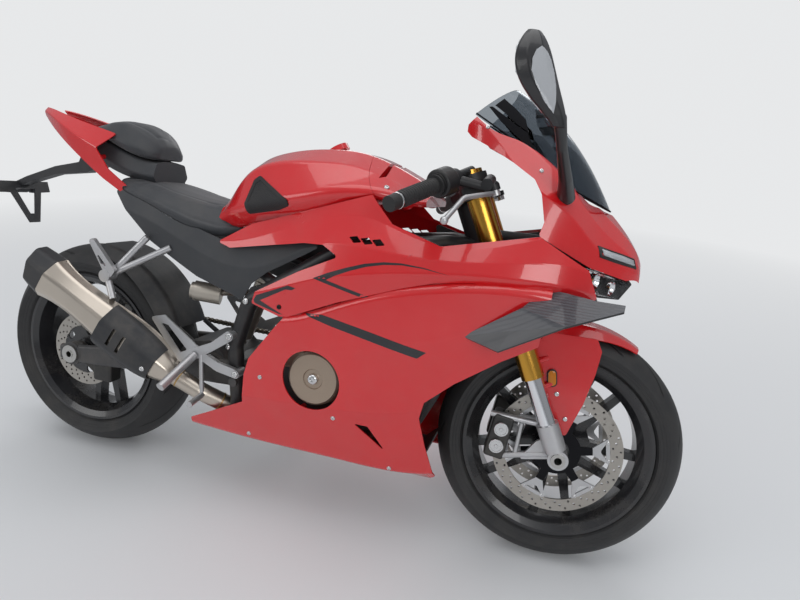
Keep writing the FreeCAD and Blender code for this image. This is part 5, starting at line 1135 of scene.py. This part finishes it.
def padded_seat(node_name, name, shrink, cap, seams):
    """Soft seat in place of its solid."""
    made = bpy.data.objects.new(name, frame["nodes"][node_name].data.copy())
    scene.collection.objects.link(made)
    step = made.modifiers.new("voxels", "REMESH")
    step.mode, step.voxel_size = "VOXEL", VOXEL_M
    made.modifiers.new("even", "SMOOTH").iterations = 3
    mesh = with_modifiers(made)
    home = [v.co.copy() for v in mesh.vertices]
    normals = [v.normal.copy() for v in mesh.vertices]
    for vertex, normal in zip(mesh.vertices, normals):
        vertex.co = vertex.co - normal * shrink / 1000
    swell(made, normals, home, cap)
    press_seams(mesh, normals, seams)
    for polygon in mesh.polygons:
        polygon.use_smooth = True
    step = made.modifiers.new("finer", "SUBSURF")
    step.levels = step.render_levels = 1
    final = with_modifiers(made)
    final.materials.clear()
    final.materials.append(finishes["seat_vinyl"])
    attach(made, "root")
    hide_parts(node_name)
    print(name, "polygons", len(final.polygons))


SEATS = (
    # node, piece, shrink and cap in mm, then seams: view, width, depth, line
    ("rider_seat", "rider_pad", 1.5, 3.0,
     [("side", 7.0, 2.4, [(110, 826), (200, 812), (300, 788), (400, 758), (470, 745), (545, 756)]),
      ("top", 7.0, 1.8, [(150, 0), (150, 52), (300, 84), (420, 76), (530, 40), (530, 0)])]),
    ("pillion_seat", "pillion_pad", 1.2, 2.5,
     [("top", 7.0, 2.2, [(26, 0), (30, 22), (80, 46), (150, 52), (204, 34), (210, 0)]),
      ("side", 6.0, 1.6, [(4, 962), (70, 946), (150, 920), (226, 906)])]),
)
for seat in SEATS:
    padded_seat(*seat)

# %% [markdown]
# The drive chain in the solids is a plain band. Its links replace it: the pitch line is two arcs round
# the sprockets and the two straight runs that touch them both. Each link is a pair of side plates with
# a waist, and a roller.

# %% Drive chain
CHAIN_Y, CHAIN_PITCH = 104.0, 15.875
REAR_PITCH_R, FRONT_PITCH_R = 110.6, 43.6
FRONT_SPROCKET = (655.0, 362.0)
PLATE_HALF, PLATE_WAIST, PLATE_THICK = 6.2, 0.74, 1.6
INNER_PLATE, OUTER_PLATE = 5.2, 7.0


def pitch_line():
    """Length of the loop and a function from distance along it to x, z and heading."""
    (x1, z1), (x2, z2) = REAR_CENTRE, FRONT_SPROCKET
    gap = math.hypot(x2 - x1, z2 - z1)
    heading = math.atan2(z2 - z1, x2 - x1)
    flare = math.asin((REAR_PITCH_R - FRONT_PITCH_R) / gap)
    run = gap * math.cos(flare)
    top, low = heading + math.pi / 2 - flare, heading - math.pi / 2 + flare
    stretches = (
        # sprocket, its pitch radius, angle at the start, length, whether the stretch is an arc
        (REAR_CENTRE, REAR_PITCH_R, top, run, False),
        (FRONT_SPROCKET, FRONT_PITCH_R, top, FRONT_PITCH_R * (math.pi - 2 * flare), True),
        (FRONT_SPROCKET, FRONT_PITCH_R, low, run, False),
        (REAR_CENTRE, REAR_PITCH_R, low, REAR_PITCH_R * (math.pi + 2 * flare), True),
    )
    whole = sum(stretch[3] for stretch in stretches)

    def at(s):
        s = s % whole
        for (x, z), radius, a, length, arc in stretches:
            if s < length:
                break
            s -= length
        if arc:
            a -= s / radius
            s = 0.0
        way = a - math.pi / 2
        return (x + radius * math.cos(a) + s * math.cos(way),
                z + radius * math.sin(a) + s * math.sin(way), way)

    return whole, at


def link_plate(x, z, way, y0, y1):
    """Side plate with round ends and a waist."""
    outline = []
    for end in (1, -1):
        for i in range(7):
            a = math.pi * (i / 6 - 0.5)
            u, v = CHAIN_PITCH / 2 + PLATE_HALF * math.cos(a), PLATE_HALF * math.sin(a)
            outline.append((end * u, end * v))
        outline.append((0, end * PLATE_HALF * PLATE_WAIST))
    cos, sin = math.cos(way), math.sin(way)
    points = [(x + u * cos - v * sin, y, z + u * sin + v * cos) for y in (y0, y1) for u, v in outline]
    return points, bands(2, len(outline)) + end_faces(2, len(outline))


loop_length, along_chain = pitch_line()
links = 2 * round(loop_length / CHAIN_PITCH / 2)
spacing = loop_length / links
plates, rollers = [], []
for k in range(links):
    x, z, way = along_chain((k + 0.5) * spacing)
    face = INNER_PLATE if k % 2 else OUTER_PLATE
    for side in (-1, 1):
        plates.append(link_plate(x, z, way, CHAIN_Y + side * (face - PLATE_THICK), CHAIN_Y + side * face))
    x, z, way = along_chain(k * spacing)
    rollers.append(across_rod(x, CHAIN_Y, z, 4.6, 3.6, 10))
    rollers.append(across_rod(x, CHAIN_Y, z, 2.4, 7.8, 8))
chain_plates = piece("chain_plates", *gathered(plates), "root", "chain_steel", "chain_steel", smooth=False)
chain_rollers = piece("chain_rollers", *gathered(rollers), "root", "chain_steel", "axle_steel")
print("links", links, "spacing", round(spacing, 2))

# %% [markdown]
# The sprockets' teeth have the chain's pitch. The rear one has ten holes, a dark carrier and five nuts.

# %% Sprockets
TOOTH = ((0.0, -4.2), (0.16, -3.0), (0.36, 3.2), (0.5, 4.4), (0.64, 3.2), (0.84, -3.0))
SPROCKET_THICK = 6.0
CARRIER_PROFILE = [(0, 60.0), (1.5, 62.0), (14.0, 62.0), (15.5, 60.0)]
NUT_PROFILE = [(0, 8.0), (6.5, 8.0), (7.5, 6.8)]


def sprocket(centre, radius, hub):
    """Toothed disc about a hub bore."""
    teeth = max(9, round(math.tau * radius / CHAIN_PITCH))
    edge = [(math.tau * (k + share) / teeth, radius + rise) for k in range(teeth) for share, rise in TOOTH]
    bore = [(a, hub) for a, _ in edge]
    points = []
    for side, row in ((-1, edge), (1, edge), (1, bore), (-1, bore)):
        y = CHAIN_Y + side * SPROCKET_THICK / 2
        points += [(centre[0] + reach * math.cos(a), y, centre[1] + reach * math.sin(a)) for a, reach in row]
    return points, bands(4, len(edge), True)


front_sprocket = piece("front_sprocket", *sprocket(FRONT_SPROCKET, FRONT_PITCH_R, 12.0), "root",
                       "chain_steel", "axle_steel", smooth=False)
for made in (chain_plates, chain_rollers, front_sprocket):
    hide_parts("chain_drive")
holes = [across_rod(x, CHAIN_Y, z, 8.0, HOLE_HALF, 16) for x, z in around(REAR_CENTRE, 82.0, 10)]
rear_teeth = drilled("rear_sprocket_teeth", *sprocket(REAR_CENTRE, REAR_PITCH_R, 32.0), holes, "rear_wheel",
                     "sprocket_steel", "axle_steel")
x, z = REAR_CENTRE
carrier = piece("rear_sprocket_carrier", *revolved((x, 85.5, z), (x, 101, z), CARRIER_PROFILE, 48),
                "rear_wheel", "sprocket_steel", "rim_black")
nuts = [revolved((x, 106.5, z), (x, 114.0, z), NUT_PROFILE, 6) for x, z in around(REAR_CENTRE, 48.0, 5)]
rear_nuts = piece("rear_sprocket_nuts", *gathered(nuts), "rear_wheel", "sprocket_steel", "bolt_silver",
                  smooth=False)
for made in (rear_teeth, carrier, rear_nuts):
    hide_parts("rear_sprocket")
print("sprockets ready")

# %% [markdown]
# Mirrors, lamps, grips and the small bright parts come last. Mirror glass lies on the back face of each
# head, whose sections are the same as in the solid, and a clear lens shaped like a leaf lies on its
# outer side.

# %% Mirror glass and lenses
MIRROR_Y, MIRROR_TURN = 322.0, math.radians(28.0)
GLASS_SHARES, GLASS_LIFT = (-0.86, 0.0, 0.86), 0.8
GLASS_ROWS = (
    # x and z of the middle, half width, half depth
    (1287, 1048, 24, 14.4), (1276, 1066, 37, 20), (1252, 1112, 50, 24), (1240, 1154, 42, 20),
    (1236, 1168, 31, 15.4),
)
LENS_LEAF = ((1284, 1046), (1266, 1065), (1249, 1090), (1238, 1112), (1236, 1132), (1240, 1148), (1248, 1156),
             (1258, 1148), (1265, 1137), (1273, 1118), (1280, 1094), (1285, 1066))


def mirror_glass(side):
    """Strip over the rows of a mirror head, on its back face."""
    cos, sin = math.cos(MIRROR_TURN), math.sin(MIRROR_TURN)
    points, faces = [], []
    for x, z, wide, deep in GLASS_ROWS:
        for share in GLASS_SHARES:
            back, out = deep + GLASS_LIFT, wide * share
            points.append((x - back * cos - out * sin, side * (MIRROR_Y - back * sin + out * cos), z))
    columns = len(GLASS_SHARES)
    for row in range(len(GLASS_ROWS) - 1):
        for a in range(row * columns, row * columns + columns - 1):
            faces.append((a, a + 1, a + columns + 1, a + columns))
    return points, faces


made = piece("mirror_glasses", *gathered([mirror_glass(side) for side in (-1, 1)]), "root", "mirror_black",
             "mirror_glass")
thicken(made, 0.0016)
for side, word in SIDES:
    film("mirror_lens_" + word, ["mirrors"], LENS_LEAF, "root", "mirror_black", "lens_white", side, 1.8, 4.0)
print("mirror pieces ready")

# %% [markdown]
# Each lamp cover is clear, so there has to be something behind it: two bright bowls with a lens each per
# side. A slim running lamp lies above it in a dark frame, and an amber reflector on the mudguard.

# %% Lamps and reflectors
LAMPS = ((1412, 104, 732, 20.0), (1450, 64, 716, 17.0))
LAMP_DEPTH = 20
LENS_PROFILE = [(0, 7.0), (3, 7.0), (6, 5.2), (7.4, 2.5)]
bowls, lenses = [], []
for side in (-1, 1):
    for x, y, z, radius in LAMPS:
        back = Vector((x - 12, side * (y + 4), z + 2))
        front = back + Vector((0.93, side * 0.34, -0.14)) * LAMP_DEPTH
        bowl = [(0, 4.0), (3, radius * 0.55), (8, radius * 0.8), (16, radius), (17, radius * 0.94),
                (9, radius * 0.72), (4, radius * 0.45)]
        bowls.append(revolved(back, front, bowl, 24))
        lenses.append(revolved(back + (front - back) * 0.25, front, LENS_PROFILE, 20))
piece("lamp_bowls", *gathered(bowls), "root", "lamp_glass", "reflector_chrome")
piece("lamp_lenses", *gathered(lenses), "root", "lamp_glass", "lens_white")


def front_strip(name, rows, material, lift):
    """Strip laid on the nose from ahead: rows of y, upper z and lower z, on both sides."""
    nose = ["upper_cowl", "side_fairing_right", "side_fairing_left"]
    for side, word in SIDES:
        hits = [on_panel(nose, (AHEAD_OF_NOSE, side * y, z), (-1, 0, 0))
                for y, high, low in rows for z in (high, low)]
        if None in hits:
            print("no nose under", name)
            return
        points = [place + normal * lift for place, normal in hits]
        faces = [(2 * i, 2 * i + 1, 2 * i + 3, 2 * i + 2) for i in range(len(rows) - 1)]
        thicken(piece(name + "_" + word, points, faces, "root", "lamp_glass", material), 0.002)


front_strip("running_lamp_frame", [(52, 786, 764), (76, 795, 770), (100, 803, 777), (126, 811, 787)],
            "plain_black", 1.0)
front_strip("running_lamp_bar", [(58, 783, 771), (78, 791, 777), (100, 798, 784), (120, 804, 792)],
            "lens_white", 2.6)


def long_oval(place, normal, straight, profile, steps=32):
    """Raised body with two round ends: profile pairs are (height, half width) in mm."""
    long_way = (OVAL_LEAN - normal * OVAL_LEAN.dot(normal)).normalized()
    wide_way = normal.cross(long_way)
    points = []
    for rise, half in profile:
        for i in range(steps):
            a = math.tau * (i + 0.5) / steps
            reach = half * math.sin(a) + math.copysign(straight, math.sin(a))
            points.append(place + normal * rise + wide_way * half * math.cos(a) + long_way * reach)
    return points, bands(len(profile), steps) + end_faces(len(profile), steps)


OVAL_AT, OVAL_LEAN = (1352.0, 483.0), Vector((-0.16, 0, 1))
hits = [from_side(["front_fender"], *OVAL_AT, side) for side in (-1, 1)]
rims = [long_oval(*hit, 10.0, [(-2.0, 11.5), (6.4, 11.5), (7.4, 10.4)]) for hit in hits]
ovals = [long_oval(*hit, 9.6, [(6.0, 9.2), (7.9, 8.9), (8.8, 6.6), (9.2, 3.0)]) for hit in hits]
piece("fender_reflector_rims", *gathered(rims), "steering", "mirror_black", "plain_black")
piece("fender_reflectors", *gathered(ovals), "steering", "lamp_red", "lens_amber")
print("lamps ready")

# %% [markdown]
# The grips get moulded ribs, and each bar's end a ring. Two points give the bar's line once they are
# turned about the stem, as in the solid; the right bar is the mirror of the left one.

# %% Grip ribs and bar ends
BAR_CLAMP, BAR_END, GRIP_LENGTH = Vector((1112, 105, 944)), Vector((1014, 358, 864)), 125.0
RIB_COUNT, RIB_PITCH, RING_BACK = 15, 7.2, 11.0
RIB_PROFILE = [(0, 16.6), (1.0, 17.9), (3.4, 17.9), (4.4, 16.6)]
RING_PROFILE = [(0, 15.6), (0.6, 16.9), (3.4, 16.9), (4.0, 15.6)]
bar_start, bar_stop = [TO_DRAWING @ (STEERED @ point) for point in (BAR_CLAMP, BAR_END)]
bar_way = (bar_stop - bar_start).normalized()
ribs = []
for k in range(RIB_COUNT):
    middle = bar_stop - bar_way * (GRIP_LENGTH - k * RIB_PITCH)
    ribs.append(revolved(middle - bar_way * 2.2, middle + bar_way, RIB_PROFILE, 28))
ring_at = bar_stop - bar_way * RING_BACK
rings = [hoop(ring_at, ring_at + bar_way, RING_PROFILE, 28)]
for name, parts, slot, look in (("grip_ribs", ribs, "grip_rubber", "grip_rubber"),
                                ("bar_end_rings", rings, "fork_chrome", "bolt_silver")):
    piece(name, *gathered(parts + [mirrored(part) for part in parts]), "steering", slot, look)
print("grip ribs", len(ribs) * 2)

# %% [markdown]
# Golden welds show where the exhaust pipe's sections meet.

# %% Exhaust welds
PIPE_LINE = [Vector(corner) for corner in ((560, -110, 240), (470, -170, 300), (395, -190, 340))]
PIPE_R = 24.0
WELD_PROFILE = [(0, PIPE_R - 0.6), (1.2, PIPE_R + 1.1), (3.8, PIPE_R + 1.1), (5.0, PIPE_R - 0.6)]
welds = []
for share, (before, after) in ((0.80, PIPE_LINE[1:]), (0.55, PIPE_LINE[:2])):
    middle = before.lerp(after, share)
    way = (after - before).normalized()
    welds.append(hoop(middle - way * 2.5, middle + way, WELD_PROFILE, 32))
piece("exhaust_welds", *gathered(welds), "root", "exhaust_steel", "weld_gold")
print("welds", len(welds))
